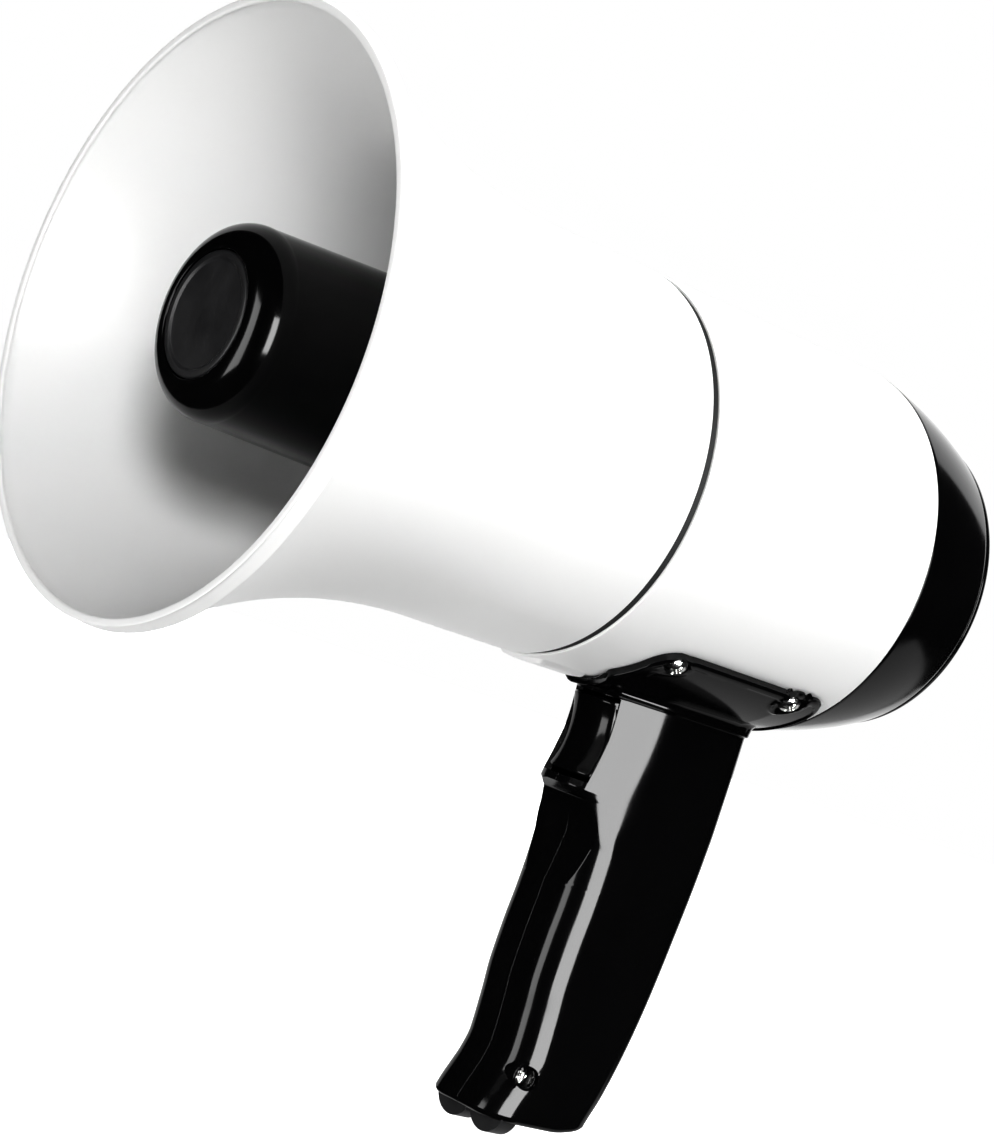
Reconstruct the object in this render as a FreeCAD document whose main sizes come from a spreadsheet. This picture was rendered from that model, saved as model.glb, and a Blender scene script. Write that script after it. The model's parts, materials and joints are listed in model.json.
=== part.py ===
# Handheld megaphone: a re-entrant horn, a body with a rear control cap, and a pistol grip.
#
# Frame, in millimetres: +Z is up, the horn's axis is Y, and its mouth opens towards -Y.
# The origin is on the horn's axis, in the plane of the rim. The user's left is +X.
import FreeCAD, Part
import math
import os
from types import SimpleNamespace

from FreeCAD import Placement, Rotation, Vector
import Sketcher

os.makedirs("parts", exist_ok=True)
doc = FreeCAD.newDocument("handheld_megaphone")

# ---------------------------------------------------------------- driving dimensions

SIZES = {
    # horn
    "rim_radius": 77.5, "rim_front": -1.0, "rim_rear": 4.0, "mouth_radius": 75.0, "lip_radius": 76.0,
    "neck_radius": 52.1, "bell_wall": 2.4, "flare_end": 92.0, "bell_length": 122.2,
    "bulkhead_front": 112.0, "bulkhead_wall": 3.0,
    "bullet_front": 5.0, "bullet_rear": 88.0, "bullet_nose_radius": 24.4, "bullet_rear_radius": 26.0,
    "bullet_wall": 1.8, "badge_radius": 15.8, "badge_depth": 1.2,
    "throat_radius": 9.0, "throat_mouth_radius": 12.0, "throat_wall": 1.6, "throat_front": 28.0,
    "bell_screw_circle": 45.0, "driver_screw_circle": 33.6,
    # body
    "seam_width": 2.3, "body_wall": 2.5, "body_rear": 207.5, "body_rear_radius": 51.8,
    "cap_bulge": 222.0, "cap_bulge_radius": 48.5, "cap_rear": 241.9, "cap_rear_radius": 41.7,
    "cap_wall": 2.4, "cap_opening": 38.6, "ledge_radius": 32.8,
    "panel_rear": 232.5, "panel_wall": 2.5, "board_rear": 217.6, "board_wall": 1.6, "board_radius": 30.5,
    # grip
    "saddle_wall": 2.4, "saddle_front": 141.6, "saddle_notch": 147.0, "saddle_rear": 205.3,
    "saddle_half_width": 36.2,
    "grip_half_width": 15.5, "grip_front_corner": 9.0, "grip_rear_corner": 8.0, "grip_wall": 2.4,
    "grip_foot": -168.5, "nose_tip": 155.2, "nose_height": -80.2,
    "trigger_half_width": 9.0, "trigger_pin_y": 161.2, "trigger_pin_z": -58.5, "trigger_pin_radius": 1.25,
    "door_pin_y": 186.6, "door_pin_z": -165.2, "door_pin_radius": 1.0, "knuckle_radius": 2.2,
    "cell_radius": 9.3, "cell_length": 65.0, "cell_y": 176.0, "cell_foot": -161.6,
    "running_gap": 0.05, "moving_gap": 0.4,
}


class Dim:
    """A length with both its number and the sheet expression that it comes from."""

    def __init__(self, number, text=None):
        self.number = float(number)
        self.text = text or repr(float(number))

    def __add__(self, other):
        other = dim(other)
        return Dim(self.number + other.number, f"({self.text} + {other.text})")

    def __sub__(self, other):
        other = dim(other)
        return Dim(self.number - other.number, f"({self.text} - {other.text})")

    def __mul__(self, factor):
        return Dim(self.number * factor, f"({self.text} * {factor!r})")

    def __neg__(self):
        return self * -1.0

    __radd__ = __add__


def dim(value):
    return value if isinstance(value, Dim) else Dim(value)


sheet = doc.addObject("Spreadsheet::Sheet", "Sizes")
for row, (name, number) in enumerate(SIZES.items(), start=1):
    sheet.set(f"A{row}", name)
    sheet.set(f"B{row}", str(number))
    sheet.setAlias(f"B{row}", name)
doc.recompute()
d = SimpleNamespace(**{name: Dim(number, f"Sizes.{name}") for name, number in SIZES.items()})

# ---------------------------------------------------------------- helpers

nodes = []          # the finished sub-parts, in the order in which they are written
ALONG_X = Rotation(Vector(0, 0, 1), -90)     # turns the local Y axis onto X
ALONG_Z = Rotation(Vector(1, 0, 0), 90)      # turns the local Y axis onto Z
FACING_BACK = Rotation(Vector(0, 0, 1), 180)


def bind(thing, path, value):
    """Drives one number of an object from the sheet, or sets it if it is a plain number."""
    value = dim(value)
    if "Sizes." in value.text:
        thing.setExpression(path, value.text)
    elif path.isidentifier():
        setattr(thing, path, value.number)


def put(thing, at=(0, 0, 0), rotation=None, path="Placement"):
    """Places an object, with each coordinate bound to the sheet where it comes from there."""
    setattr(thing, path, Placement(Vector(*[dim(v).number for v in at]), rotation or Rotation()))
    for axis, value in zip("xyz", at):
        bind(thing, f"{path}.Base.{axis}", value)
    return thing


def finish(thing, label=None):
    """Marks an object as a finished sub-part."""
    if label:
        thing.Label = label
    nodes.append(thing)
    return thing


def new_body(label, at=(0, 0, 0), rotation=None):
    body = doc.addObject("PartDesign::Body", label)
    body.Label = label
    return put(body, at, rotation)


def origin_plane(body, role):
    return next(item for item in body.Origin.OriginFeatures if item.Role == role)


def new_sketch(body, role, offset=0):
    sketch = body.newObject("Sketcher::SketchObject", body.Name + "_outline")
    sketch.AttachmentSupport = [(origin_plane(body, role), "")]
    sketch.MapMode = "FlatFace"
    put(sketch, (0, 0, offset), path="AttachmentOffset")
    return sketch


def fix_point(sketch, geometry, vertex, x, y):
    """Holds one point of a sketch at x and y, measured from the sketch's origin."""
    for kind, axis_line, value in (("DistanceX", -2, dim(x)), ("DistanceY", -1, dim(y))):
        if value.number == 0:
            sketch.addConstraint(Sketcher.Constraint("PointOnObject", geometry, vertex, axis_line))
            continue
        index = sketch.addConstraint(Sketcher.Constraint(kind, -1, 1, geometry, vertex, value.number))
        bind(sketch, f"Constraints[{index}]", value)


def draw(sketch, points):
    """Draws a closed outline. A point is (x, y), or (x, y, via_x, via_y) at the end of an arc."""
    def spot(x, y):
        return Vector(dim(x).number, dim(y).number, 0)

    first = len(sketch.Geometry)
    count = len(points)
    for start, end in zip(points, points[1:] + points[:1]):
        if len(end) == 2:
            sketch.addGeometry(Part.LineSegment(spot(*start[:2]), spot(*end)))
        else:
            sketch.addGeometry(Part.Arc(spot(*start[:2]), spot(*end[2:]), spot(*end[:2])))
    for index in range(count):
        edge, following = first + index, first + (index + 1) % count
        is_arc = len(points[(index + 1) % count]) == 4
        next_is_arc = len(points[(index + 2) % count]) == 4
        end_vertex = arc_vertex(sketch, edge, points[(index + 1) % count]) if is_arc else 2
        start_vertex = arc_vertex(sketch, following, points[(index + 1) % count]) if next_is_arc else 1
        sketch.addConstraint(Sketcher.Constraint("Coincident", edge, end_vertex, following, start_vertex))
        fix_point(sketch, following, start_vertex, *points[(index + 1) % count][:2])
        if is_arc:
            via = points[(index + 1) % count][2:]
            marker = sketch.addGeometry(Part.Point(spot(*via)), True)
            sketch.addConstraint(Sketcher.Constraint("PointOnObject", marker, 1, edge))
            fix_point(sketch, marker, 1, *via)
    return sketch


def arc_vertex(sketch, edge, point):
    """The vertex of an arc that lies at a point: a sketch stores every arc anticlockwise."""
    target = Vector(dim(point[0]).number, dim(point[1]).number, 0)
    return 1 if (sketch.getPoint(edge, 1) - target).Length < 1e-6 else 2


def turned(label, points, at=(0, 0, 0), rotation=None):
    """A piece turned about its own Y axis. Its outline's points are (along the axis, radius)."""
    body = new_body(label, at, rotation)
    sketch = draw(new_sketch(body, "YZ_Plane"), points)
    feature = body.newObject("PartDesign::Revolution", label + "_turning")
    feature.Profile = sketch
    feature.ReferenceAxis = (sketch, ["H_Axis"])
    feature.Angle = 360
    return body


def tube(start, end, inner, outer):
    """The outline of a plain ring or disc, for turned()."""
    return [(start, inner), (end, inner), (end, outer), (start, outer)]


def cylinder(radius, length, at, rotation=ALONG_Z, name="cylinder"):
    """A cylinder that starts at a point and runs along Y, or along X or Z by its rotation."""
    thing = doc.addObject("Part::Cylinder", name)
    bind(thing, "Radius", radius)
    bind(thing, "Height", length)
    # a Part cylinder runs along its local Z axis
    return put(thing, at, rotation * Rotation(Vector(1, 0, 0), -90))


ALONG_Y = Rotation()


def block(size, low, name="block"):
    """A box from its low corner."""
    thing = doc.addObject("Part::Box", name)
    for side, value in zip(("Length", "Width", "Height"), size):
        bind(thing, side, value)
    return put(thing, low)


def joined(name, *things):
    union = doc.addObject("Part::MultiFuse", name)
    union.Shapes = list(things)
    return union


def cut(name, base, *tools):
    result = doc.addObject("Part::Cut", name)
    result.Base = base
    result.Tool = tools[0] if len(tools) == 1 else joined(name + "_tools", *tools)
    return result


def common(name, first, second):
    result = doc.addObject("Part::Common", name)
    result.Base = first
    result.Tool = second
    return result


def group(label, *members):
    """Several separate solids that share one node."""
    compound = doc.addObject("Part::Compound", label)
    compound.Links = list(members)
    return finish(compound, label)


def around(radius, count, first_angle=0.0):
    """Evenly spaced places on a circle about the horn's axis, as (x, z, angle) with angle in degrees."""
    for index in range(count):
        angle = first_angle + 360.0 * index / count
        turn = math.radians(angle)
        yield dim(radius) * math.cos(turn), dim(radius) * math.sin(turn), angle


def prism(label, role, points, start, length):
    """An outline on an origin plane, pushed square to that plane from start."""
    body = new_body(label)
    sketch = draw(new_sketch(body, role, start), points)
    feature = body.newObject("PartDesign::Pad", label + "_pad")
    feature.Profile = sketch
    bind(feature, "Length", length)
    return body


def screw(name, at, rotation, head=3.0, head_height=2.0, shank=1.5, length=10.0):
    """A cross-head pan screw. Its head stands towards local -Y from the point, its shank runs to +Y."""
    crown = head_height * 0.55
    blank = turned(name + "_blank", [
        (-head_height, 0), (-head_height, head * 0.45),
        (-crown, head, -head_height * 0.86, head * 0.80),
        (0, head), (0, shank), (length - shank, shank), (length, shank * 0.35), (length, 0)])
    slot, depth = head * 0.26, head_height * 0.75
    arms = [block((size_x, depth + 1, size_z), (-size_x / 2, -head_height - 1, -size_z / 2), name + "_arm")
            for size_x, size_z in ((slot, head * 1.15), (head * 1.15, slot))]
    return put(cut(name, blank, *arms), at, rotation)


def radial(angle):
    """Turns local -Y outwards from the horn's axis, at an angle from straight down towards +X."""
    return Rotation(Vector(0, 1, 0), -angle) * Rotation(Vector(1, 0, 0), 90)


# ---------------------------------------------------------------- horn

DRIVER_SHANK = 1.2


def flare(front_radius, neck, via_share=0.5):
    """A point part-way along an arc that is tangent to the neck and meets the mouth at front_radius."""
    rise = front_radius.number - neck.number
    run = d.flare_end.number
    radius = (rise ** 2 + run ** 2) / (2 * rise)
    across = run * (1 - via_share)
    lift = radius - math.sqrt(radius ** 2 - across ** 2)
    return d.flare_end * via_share, neck + (front_radius - neck) * (lift / rise)


def make_horn():
    neck_inside = d.neck_radius - d.bell_wall
    bulkhead_rear = d.bulkhead_front + d.bulkhead_wall
    lip_slope = 1.6
    bell = turned("bell_blank", [
        (d.rim_front + 0.8, d.rim_radius),
        (d.rim_front, d.rim_radius - 0.8, d.rim_front + 0.23, d.rim_radius - 0.23),
        (d.rim_front, d.mouth_radius + 0.8),
        (d.rim_front + 0.8, d.mouth_radius, d.rim_front + 0.23, d.mouth_radius + 0.23), (0, d.mouth_radius),
        (d.flare_end, neck_inside, *flare(d.mouth_radius, neck_inside)),
        (d.bulkhead_front, neck_inside), (d.bulkhead_front, 14.0), (bulkhead_rear, 14.0),
        (bulkhead_rear, neck_inside), (d.bell_length, neck_inside), (d.bell_length, d.neck_radius),
        (d.flare_end, d.neck_radius),
        (d.rim_rear + lip_slope, d.lip_radius - 1.0, *flare(d.lip_radius, d.neck_radius, 0.5)),
        (d.rim_rear, d.rim_radius)])
    holes = [cylinder(1.9, d.bulkhead_wall + 2, (x, d.bulkhead_front - 1, z), ALONG_Y)
             for x, z, _ in around(d.bell_screw_circle, 4, 45)]
    holes += [cylinder(DRIVER_SHANK, 3, (x, bulkhead_rear - 2, z), ALONG_Y)
              for x, z, _ in around(d.driver_screw_circle, 4)]
    finish(cut("horn_bell", bell, *holes))

    nose = d.bullet_front
    rear = d.bullet_rear
    inside = d.bullet_nose_radius - d.bullet_wall
    finish(turned("reflector_bullet", [
        (nose + d.badge_depth, 0), (nose + d.badge_depth, d.badge_radius + 0.3),
        (nose, d.badge_radius + 0.3), (nose, d.badge_radius + 0.9),
        (nose + 9, d.bullet_nose_radius, nose + 2.35, d.bullet_nose_radius - 2.25),
        (rear, d.bullet_rear_radius), (rear, d.bullet_rear_radius - d.bullet_wall),
        (nose + 11, inside), (nose + 4, inside - 5.5, nose + 5.4, inside - 1.9),
        (nose + 4, 8.0), (nose + 14, 0)]))
    finish(turned("bullet_badge", [
        (nose + 0.3, 0), (nose + 0.3, d.badge_radius - 1.3), (nose + 0.55, d.badge_radius),
        (nose + d.badge_depth, d.badge_radius), (nose + d.badge_depth, 0)]))

    outside = d.throat_radius + d.throat_wall
    pipe = turned("throat_pipe", [
        (d.throat_front, d.throat_mouth_radius), (d.bulkhead_front, d.throat_radius),
        (bulkhead_rear, d.throat_radius), (bulkhead_rear, 13.7), (d.bulkhead_front, 13.7),
        (d.bulkhead_front, 22.0), (d.bulkhead_front - 3, 22.0), (d.bulkhead_front - 5, outside + 1),
        (d.throat_front, d.throat_mouth_radius + d.throat_wall)])
    fins = []
    for index in range(3):
        angle = 90 + 120 * index
        fin = block((12.2, 16, 2), (12.0, 66, -1), "fin")
        fins.append(put(fin, (12.0 * math.cos(math.radians(angle)) + math.sin(math.radians(angle)), 66,
                              12.0 * math.sin(math.radians(angle)) - math.cos(math.radians(angle))),
                        Rotation(Vector(0, 1, 0), -angle)))
    limit = turned("fin_limit", tube(60, 90, 0, d.bullet_rear_radius - d.bullet_wall - 0.55))
    finish(common("throat_tube", joined("throat_with_fins", pipe, *fins), joined("throat_zone", limit, turned(
        "throat_zone_rear", tube(84, 120, 0, 30)), turned("throat_zone_front", tube(20, 61, 0, 20)))))

    group("bell_screws", *[screw("bell_screw", (x, d.bulkhead_front, z), None, length=20)
                           for x, z, _ in around(d.bell_screw_circle, 4, 45)])


# ---------------------------------------------------------------- body and rear cap

def make_body():
    front = d.bell_length + d.seam_width
    inside = d.neck_radius - d.body_wall
    finish(turned("seam_ring", [
        (d.bell_length - 3, inside - 2.2), (front + 3, inside - 2.2), (front + 3, inside - 0.15),
        (front, inside - 0.15), (front, d.neck_radius - 0.1), (d.bell_length, d.neck_radius - 0.1),
        (d.bell_length, inside - 0.15), (d.bell_length - 3, inside - 0.15)]))
    shell = turned("body_tube", [
        (front, inside), (d.body_rear, inside), (d.body_rear, d.body_rear_radius), (front, d.neck_radius)])
    bosses = [cylinder(5.0, 12, (x, front + 3.2, z), ALONG_Y) for x, z, _ in around(d.bell_screw_circle, 4, 45)]
    bosses += [cylinder(3.4, 7, saddle_point(angle, y, 44.5), radial(angle) * Rotation(Vector(0, 0, 1), 180))
               for angle, y in saddle_screw_places()]
    pad = common("belly_pad", turned("belly_ring", tube(front + 3, d.saddle_notch - 2.5, d.neck_radius - 0.5,
                                                        d.neck_radius + 1.2)),
                 block((18, 30, 12), (-9, front, -58)))
    holes = [cylinder(1.5, 13, (x, front - 1, z), ALONG_Y) for x, z, _ in around(d.bell_screw_circle, 4, 45)]
    holes += [cylinder(1.5, 30, saddle_point(angle, y, 60), radial(angle)) for angle, y in saddle_screw_places()]
    holes.append(cylinder(6, 12, (0, 184, -44), Rotation(Vector(1, 0, 0), -90), "lead_hole"))
    finish(cut("body_shell", joined("body_with_bosses", shell, *bosses, pad), *holes))

    ledge_front = d.panel_rear - d.panel_wall - 2.4
    cap_front = d.body_rear + 0.1
    cap = turned("cap_blank", [
        (cap_front, d.body_rear_radius),
        (d.cap_rear - 1.7, d.cap_rear_radius, d.cap_bulge, d.cap_bulge_radius),
        (d.cap_rear, d.cap_rear_radius - 1.6, d.cap_rear - 0.5, d.cap_rear_radius - 0.45),
        (d.cap_rear, d.cap_opening), (d.panel_rear - d.panel_wall, d.cap_opening),
        (d.panel_rear - d.panel_wall, d.ledge_radius), (ledge_front, d.ledge_radius),
        (ledge_front, d.cap_bulge_radius - 4.0),
        (cap_front, d.body_rear_radius - d.cap_wall, d.cap_bulge - 4, d.cap_bulge_radius + 1.0 - d.cap_wall)])
    groove = turned("cap_groove", tube(d.cap_rear - 3.9, d.cap_rear - 3.2, d.cap_rear_radius + 0.5,
                                       d.cap_rear_radius + 8))
    spigot = turned("cap_spigot", tube(d.body_rear - 3.5, d.body_rear + 1.2, inside - 2, inside - 0.1))
    rim = turned("cap_rim", tube(cap_front, d.body_rear + 1.2, inside - 2, d.body_rear_radius - 1.5))
    lugs = [cylinder(3.0, 8, (x, d.panel_rear - d.panel_wall - 8, z), ALONG_Y) for x, z in PANEL_SCREWS]
    pilots = [cylinder(1.1, 8, (x, d.panel_rear - d.panel_wall - 7, z), ALONG_Y) for x, z in PANEL_SCREWS]
    finish(cut("rear_cap", joined("cap_with_lugs", cap, spigot, rim, *lugs), groove, *pilots))


PANEL_SCREWS = [(25.6, 23.0), (-25.6, 23.0), (23.0, -25.6), (-23.0, -25.6)]
BOARD_POSTS = [(26.0, 8.0), (-26.0, 8.0), (0.0, -27.0)]
MIC_AT = (0, 18.0)
KNOB_AT = (17.0, -9.0)
SLIDER_AT = (-17.0, -8.0)
SIREN_AT = (-9.0, -26.0)
RECORD_AT = (9.0, -26.0)
LAMP_AT = (0, 1.0)
SOCKET_AT = (0, -13.0)
SLIDER_TRAVEL = 4.0


def saddle_screw_places():
    return [(angle, y) for angle in (-38.0, 38.0) for y in (150.5, 193.1)]


def saddle_point(angle, y, radius):
    """A point at a distance from the horn's axis, at an angle from straight down towards +X."""
    turn = math.radians(angle)
    return dim(radius) * math.sin(turn), y, dim(radius) * -math.cos(turn)


# ---------------------------------------------------------------- driver

def make_driver():
    back = d.bulkhead_front + d.bulkhead_wall
    holes = [cylinder(DRIVER_SHANK + 0.1, 6, (x, back - 1, z), ALONG_Y)
             for x, z, _ in around(d.driver_screw_circle, 4)]
    clearance = joined("driver_screw_clearance", *holes)
    finish(cut("driver_gasket", turned("gasket_ring", tube(back, back + 1, 14, 37)), clearance))
    finish(cut("driver_housing", turned("driver_can", [
        (back + 1, 9), (back + 7, 9), (back + 11, 20), (back + 14, 27), (back + 21, 27), (back + 21, 30),
        (back + 4, 30), (back + 4, 37), (back + 1, 37)]), clearance))
    finish(turned("diaphragm", [
        (back + 8.2, 0), (back + 8.2, 1.5), (back + 15, 17, back + 10.4, 10.5), (back + 15.2, 26.6),
        (back + 15.6, 26.6), (back + 15.6, 17), (back + 8.8, 1.5, back + 11.0, 10.2), (back + 8.8, 0)]))
    finish(turned("voice_coil", tube(back + 15.6, back + 22.5, 17.3, 18.0)))
    finish(turned("driver_top_plate", tube(back + 17, back + 20.8, 18.8, 26.7)))
    finish(turned("driver_magnet", tube(back + 21, back + 32, 20.5, 30)))
    finish(turned("driver_yoke", [
        (back + 17.4, 0), (back + 17.4, 16.6), (back + 32, 16.6), (back + 32, 29), (back + 37, 29),
        (back + 37, 0)]))
    group("driver_screws", *[screw("driver_screw", (x, back + 4, z), FACING_BACK, length=5.5,
                                   shank=DRIVER_SHANK) for x, z, _ in around(d.driver_screw_circle, 4)])


# ---------------------------------------------------------------- controls on the rear panel

def control_panel():
    front = d.panel_rear - d.panel_wall
    disc = turned("panel_disc", tube(front, d.panel_rear, 0, d.cap_opening - 0.3))
    posts = [cylinder(2.6, front - d.board_rear, (x, d.board_rear, z), ALONG_Y) for x, z in BOARD_POSTS]
    cup = turned("mic_cup", tube(front - 9, front, 10.4, 11.6), (MIC_AT[0], 0, MIC_AT[1]))
    openings = [(*MIC_AT, 10.4), (*KNOB_AT, 3.9), (*SIREN_AT, 4.3), (*RECORD_AT, 4.3), (*LAMP_AT, 1.6),
                (*SOCKET_AT, 4.0)] + [(x, z, 1.3) for x, z in PANEL_SCREWS]
    holes = [cylinder(radius, d.panel_wall + 2, (x, front - 1, z), ALONG_Y) for x, z, radius in openings]
    holes += [cylinder(0.9, 9, (x, d.board_rear - 1, z), ALONG_Y) for x, z in BOARD_POSTS]
    slot = block((3.6, d.panel_wall + 2, SLIDER_TRAVEL + 4.6),
                 (SLIDER_AT[0] - 1.8, front - 1, SLIDER_AT[1] - 2.3 - SLIDER_TRAVEL / 2))
    finish(cut("control_panel", joined("panel_with_posts", disc, cup, *posts), slot, *holes))
    group("panel_screws", *[screw("panel_screw", (x, d.panel_rear, z), FACING_BACK, head=2.4, head_height=1.5,
                                  shank=1.1, length=8) for x, z in PANEL_SCREWS])


def microphone():
    body = new_body("mic_grille", (MIC_AT[0], d.panel_rear, MIC_AT[1]))
    sketch = new_sketch(body, "XZ_Plane")
    rings = [(0.0, 1), (3.0, 6), (6.0, 12), (9.0, 18)]
    sketch.addGeometry(Part.Circle(Vector(0, 0, 0), Vector(0, 0, 1), 11.8))
    for ring_radius, count in rings:
        for index in range(count):
            turn = 2 * math.pi * index / count
            centre = Vector(ring_radius * math.cos(turn), ring_radius * math.sin(turn), 0)
            sketch.addGeometry(Part.Circle(centre, Vector(0, 0, 1), 0.8))
    pad = body.newObject("PartDesign::Pad", "grille_pad")
    pad.Profile = sketch
    pad.Length = 1.4
    pad.Reversed = True
    finish(body)
    at = (MIC_AT[0], 0, MIC_AT[1])
    rear = d.panel_rear
    finish(turned("mic_foam", tube(rear - 2.9, rear - 0.1, 0, 10.2), at))
    finish(turned("mic_grommet", tube(rear - 11.1, rear - 3.1, 4.9, 10.2), at))
    finish(turned("mic_capsule", tube(rear - 10.5, rear - 3.9, 0, 4.85), at))


def volume_control():
    at = (KNOB_AT[0], 0, KNOB_AT[1])
    back = d.board_rear
    finish(turned("volume_pot", [
        (back, 0), (back, 8), (back + 6.5, 8), (back + 6.5, 3.7), (back + 12.2, 3.7), (back + 12.2, 3.05),
        (back + 1.5, 3.05), (back + 1.5, 0)], at))
    finish(turned("volume_shaft", tube(back + 1.8, d.panel_rear + 5.6, 0, 3.0), at))
    knob = turned("knob_blank", [
        (d.panel_rear + 0.5, 3.0), (d.panel_rear + 5.7, 3.0), (d.panel_rear + 5.7, 0), (d.panel_rear + 7.4, 0),
        (d.panel_rear + 7.4, 6.6), (d.panel_rear + 6.4, 7.7, d.panel_rear + 7.1, 7.4),
        (d.panel_rear + 0.5, 8.3)], at)
    flutes = [cylinder(0.9, 7, (KNOB_AT[0] + x.number, d.panel_rear + 1.6, KNOB_AT[1] + z.number), ALONG_Y)
              for x, z, _ in around(8.4, 18)]
    pointer = block((1.0, 0.8, 5.2), (KNOB_AT[0] - 0.5, d.panel_rear + 7.0, KNOB_AT[1] + 1.4))
    finish(cut("volume_knob", knob, pointer, *flutes))


def switches():
    back = d.board_rear
    x, z = SLIDER_AT
    rest_z = z - SLIDER_TRAVEL / 2
    finish(block((8, 7, 13), (x - 4, back, z - 6.5), "mode_switch_body"), "mode_switch_body")
    stem = block((2.6, 7.6, 3.4), (x - 1.3, back + 7.3, rest_z - 1.7))
    cap = block((7.0, 2.4, 6.4), (x - 3.5, d.panel_rear + 0.4, rest_z - 3.2))
    ribs = [block((5.4, 0.6, 0.7), (x - 2.7, d.panel_rear + 2.3, rest_z + offset - 0.35)) for offset in (-2, 0, 2)]
    ridge = block((2.6, 1.2, 3.4), (x - 1.3, back + 14.6, rest_z - 1.7))
    finish(cut("mode_slider", joined("slider_blank", stem, ridge, cap), *ribs))
    tacts = []
    for name, (x, z) in (("siren_button", SIREN_AT), ("record_button", RECORD_AT)):
        tacts.append(joined("tact_switch", block((6, 4.6, 6), (x - 3, back, z - 3)),
                            cylinder(1.7, 0.9, (x, back + 4.5, z), ALONG_Y)))
        finish(turned(name, [
            (back + 6.6, 0), (back + 6.6, 1.5), (back + 10.4, 1.5), (back + 10.4, 4.8), (back + 11.9, 4.8),
            (back + 11.9, 4.0), (d.panel_rear + 2.0, 4.0), (d.panel_rear + 2.6, 3.3), (d.panel_rear + 2.3, 0)],
            (x, 0, z)))
    group("button_switches", *tacts)
    finish(turned("status_lamp", [
        (back, 0), (back, 1.8), (back + 9, 1.8), (back + 9, 1.5), (d.panel_rear + 0.3, 1.5),
        (d.panel_rear + 1.3, 0.6, d.panel_rear + 1.0, 1.2), (d.panel_rear + 1.3, 0)],
        (LAMP_AT[0], 0, LAMP_AT[1])))
    finish(turned("audio_socket", [
        (back, 0), (back, 3.9), (d.panel_rear + 0.6, 3.9), (d.panel_rear + 0.6, 1.8), (back + 1.5, 1.8),
        (back + 1.5, 0)], (SOCKET_AT[0], 0, SOCKET_AT[1])))


def electronics():
    front = d.board_rear - d.board_wall
    disc = turned("board_disc", tube(front, d.board_rear, 0, d.board_radius))
    holes = [cylinder(1.1, 4, (x, front - 1, z), ALONG_Y) for x, z in BOARD_POSTS]
    finish(cut("main_board", disc, *holes))
    group("board_screws", *[screw("board_screw", (x, front, z), None, head=2.0, head_height=1.3, shank=0.9,
                                  length=6) for x, z in BOARD_POSTS])
    group("capacitors", *[turned("capacitor", tube(front - length, front, 0, radius), (x, 0, z))
                          for x, z, radius, length in ((-16, 14, 5, 16), (-5, 20, 4, 12), (10, 20, 4, 12))])
    finish(block((12, 4.5, 16), (4, front - 4.5, -8), "amplifier_chip"), "amplifier_chip")
    base = block((16, 2, 22), (2, front - 6.6, -11))
    fins = [block((1.2, 9, 22), (2 + 2.96 * index, front - 15.4, -11)) for index in range(6)]
    finish(joined("heat_sink", base, *fins))


# ---------------------------------------------------------------- grip

# stations down the grip: height, then the front and rear of the grip's section there
GRIP_STATIONS = [
    (-42.0, 156.6, 203.6, 1.2), (-53.4, 156.6, 203.6, 1.2), (-54.4, 157.9, 203.0, 0.0),
    (-66.0, 157.6, 203.2, 0.0), (-80.5, 155.2, 203.2, 0.0), (-95.0, 159.9, 202.6, 0.0),
    (-110.0, 159.9, 201.4, 0.0), (-130.0, 159.0, 199.5, 0.0), (-150.0, 160.3, 195.8, 0.0),
    (-159.5, 157.4, 193.4, 0.0), (-168.5, 154.2, 190.8, 0.0)]


def section(half_width, front, rear, front_corner, rear_corner):
    """A rounded rectangle across the grip, as an outline for draw()."""
    inward = 1 - math.sqrt(0.5)
    wide, front, rear = dim(half_width), dim(front), dim(rear)
    near, far = dim(front_corner), dim(rear_corner)
    return [
        (wide, front + near),
        (wide - near, front, wide - near * inward, front + near * inward),
        (-(wide - near), front),
        (-wide, front + near, -(wide - near * inward), front + near * inward),
        (-wide, rear - far), (-(wide - far), rear, -(wide - far * inward), rear - far * inward),
        (wide - far, rear),
        (wide, rear - far, wide - far * inward, rear - far * inward)]


def loft(label, stations):
    """A body lofted down through (height, outline) stations."""
    body = new_body(label)
    sketches = [draw(new_sketch(body, "XY_Plane", height), points) for height, points in stations]
    feature = body.newObject("PartDesign::AdditiveLoft", label + "_loft")
    feature.Profile = sketches[0]
    feature.Sections = sketches[1:]
    return body


def grip_column():
    """The grip's outside, before it is hollowed: smooth stations, then the nose and foot cut to shape."""
    stations = [(height, section(d.grip_half_width + swell, front, rear, d.grip_front_corner,
                                 d.grip_rear_corner)) for height, front, rear, swell in GRIP_STATIONS]
    smooth = loft("grip_smooth", stations)
    tip, level = d.nose_tip, d.nose_height
    side = prism("grip_side", "YZ_Plane", [
        (140, -40), (140, level + 1), (tip - 0.6, level + 0.6), (tip, level, tip - 0.35, level + 0.15),
        (tip + 6.7, level - 12.1, tip + 4.9, level - 5.6),
        (tip + 4.9, level - 25, tip + 5.9, level - 18.8), (145, level - 25.5),
        (145, d.grip_foot), (184.0, d.grip_foot), (192.0, -161.0, 189.7, -166.2), (199, -140),
        (206, -120), (206, -40)], -20, 40)
    return common("grip_column", smooth, side)


def hollow():
    """The space inside the grip, open at the foot and towards the body."""
    wall = d.grip_wall
    stations = [(height, section(d.grip_half_width - wall, front, rear, 6.0, 5.6)) for height, front, rear in [
        (-40.0, 166.0, 200.5), (-78.0, 166.0, 200.7), (-94.0, 165.2, 200.2), (-106.0, 163.0, 199.3),
        (-130.0, 161.6, 197.2), (-151.0, 162.8, 193.1), (-158.0, 161.4, 191.4), (-170.0, 157.2, 188.0)]]
    return loft("grip_hollow", stations)


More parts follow.
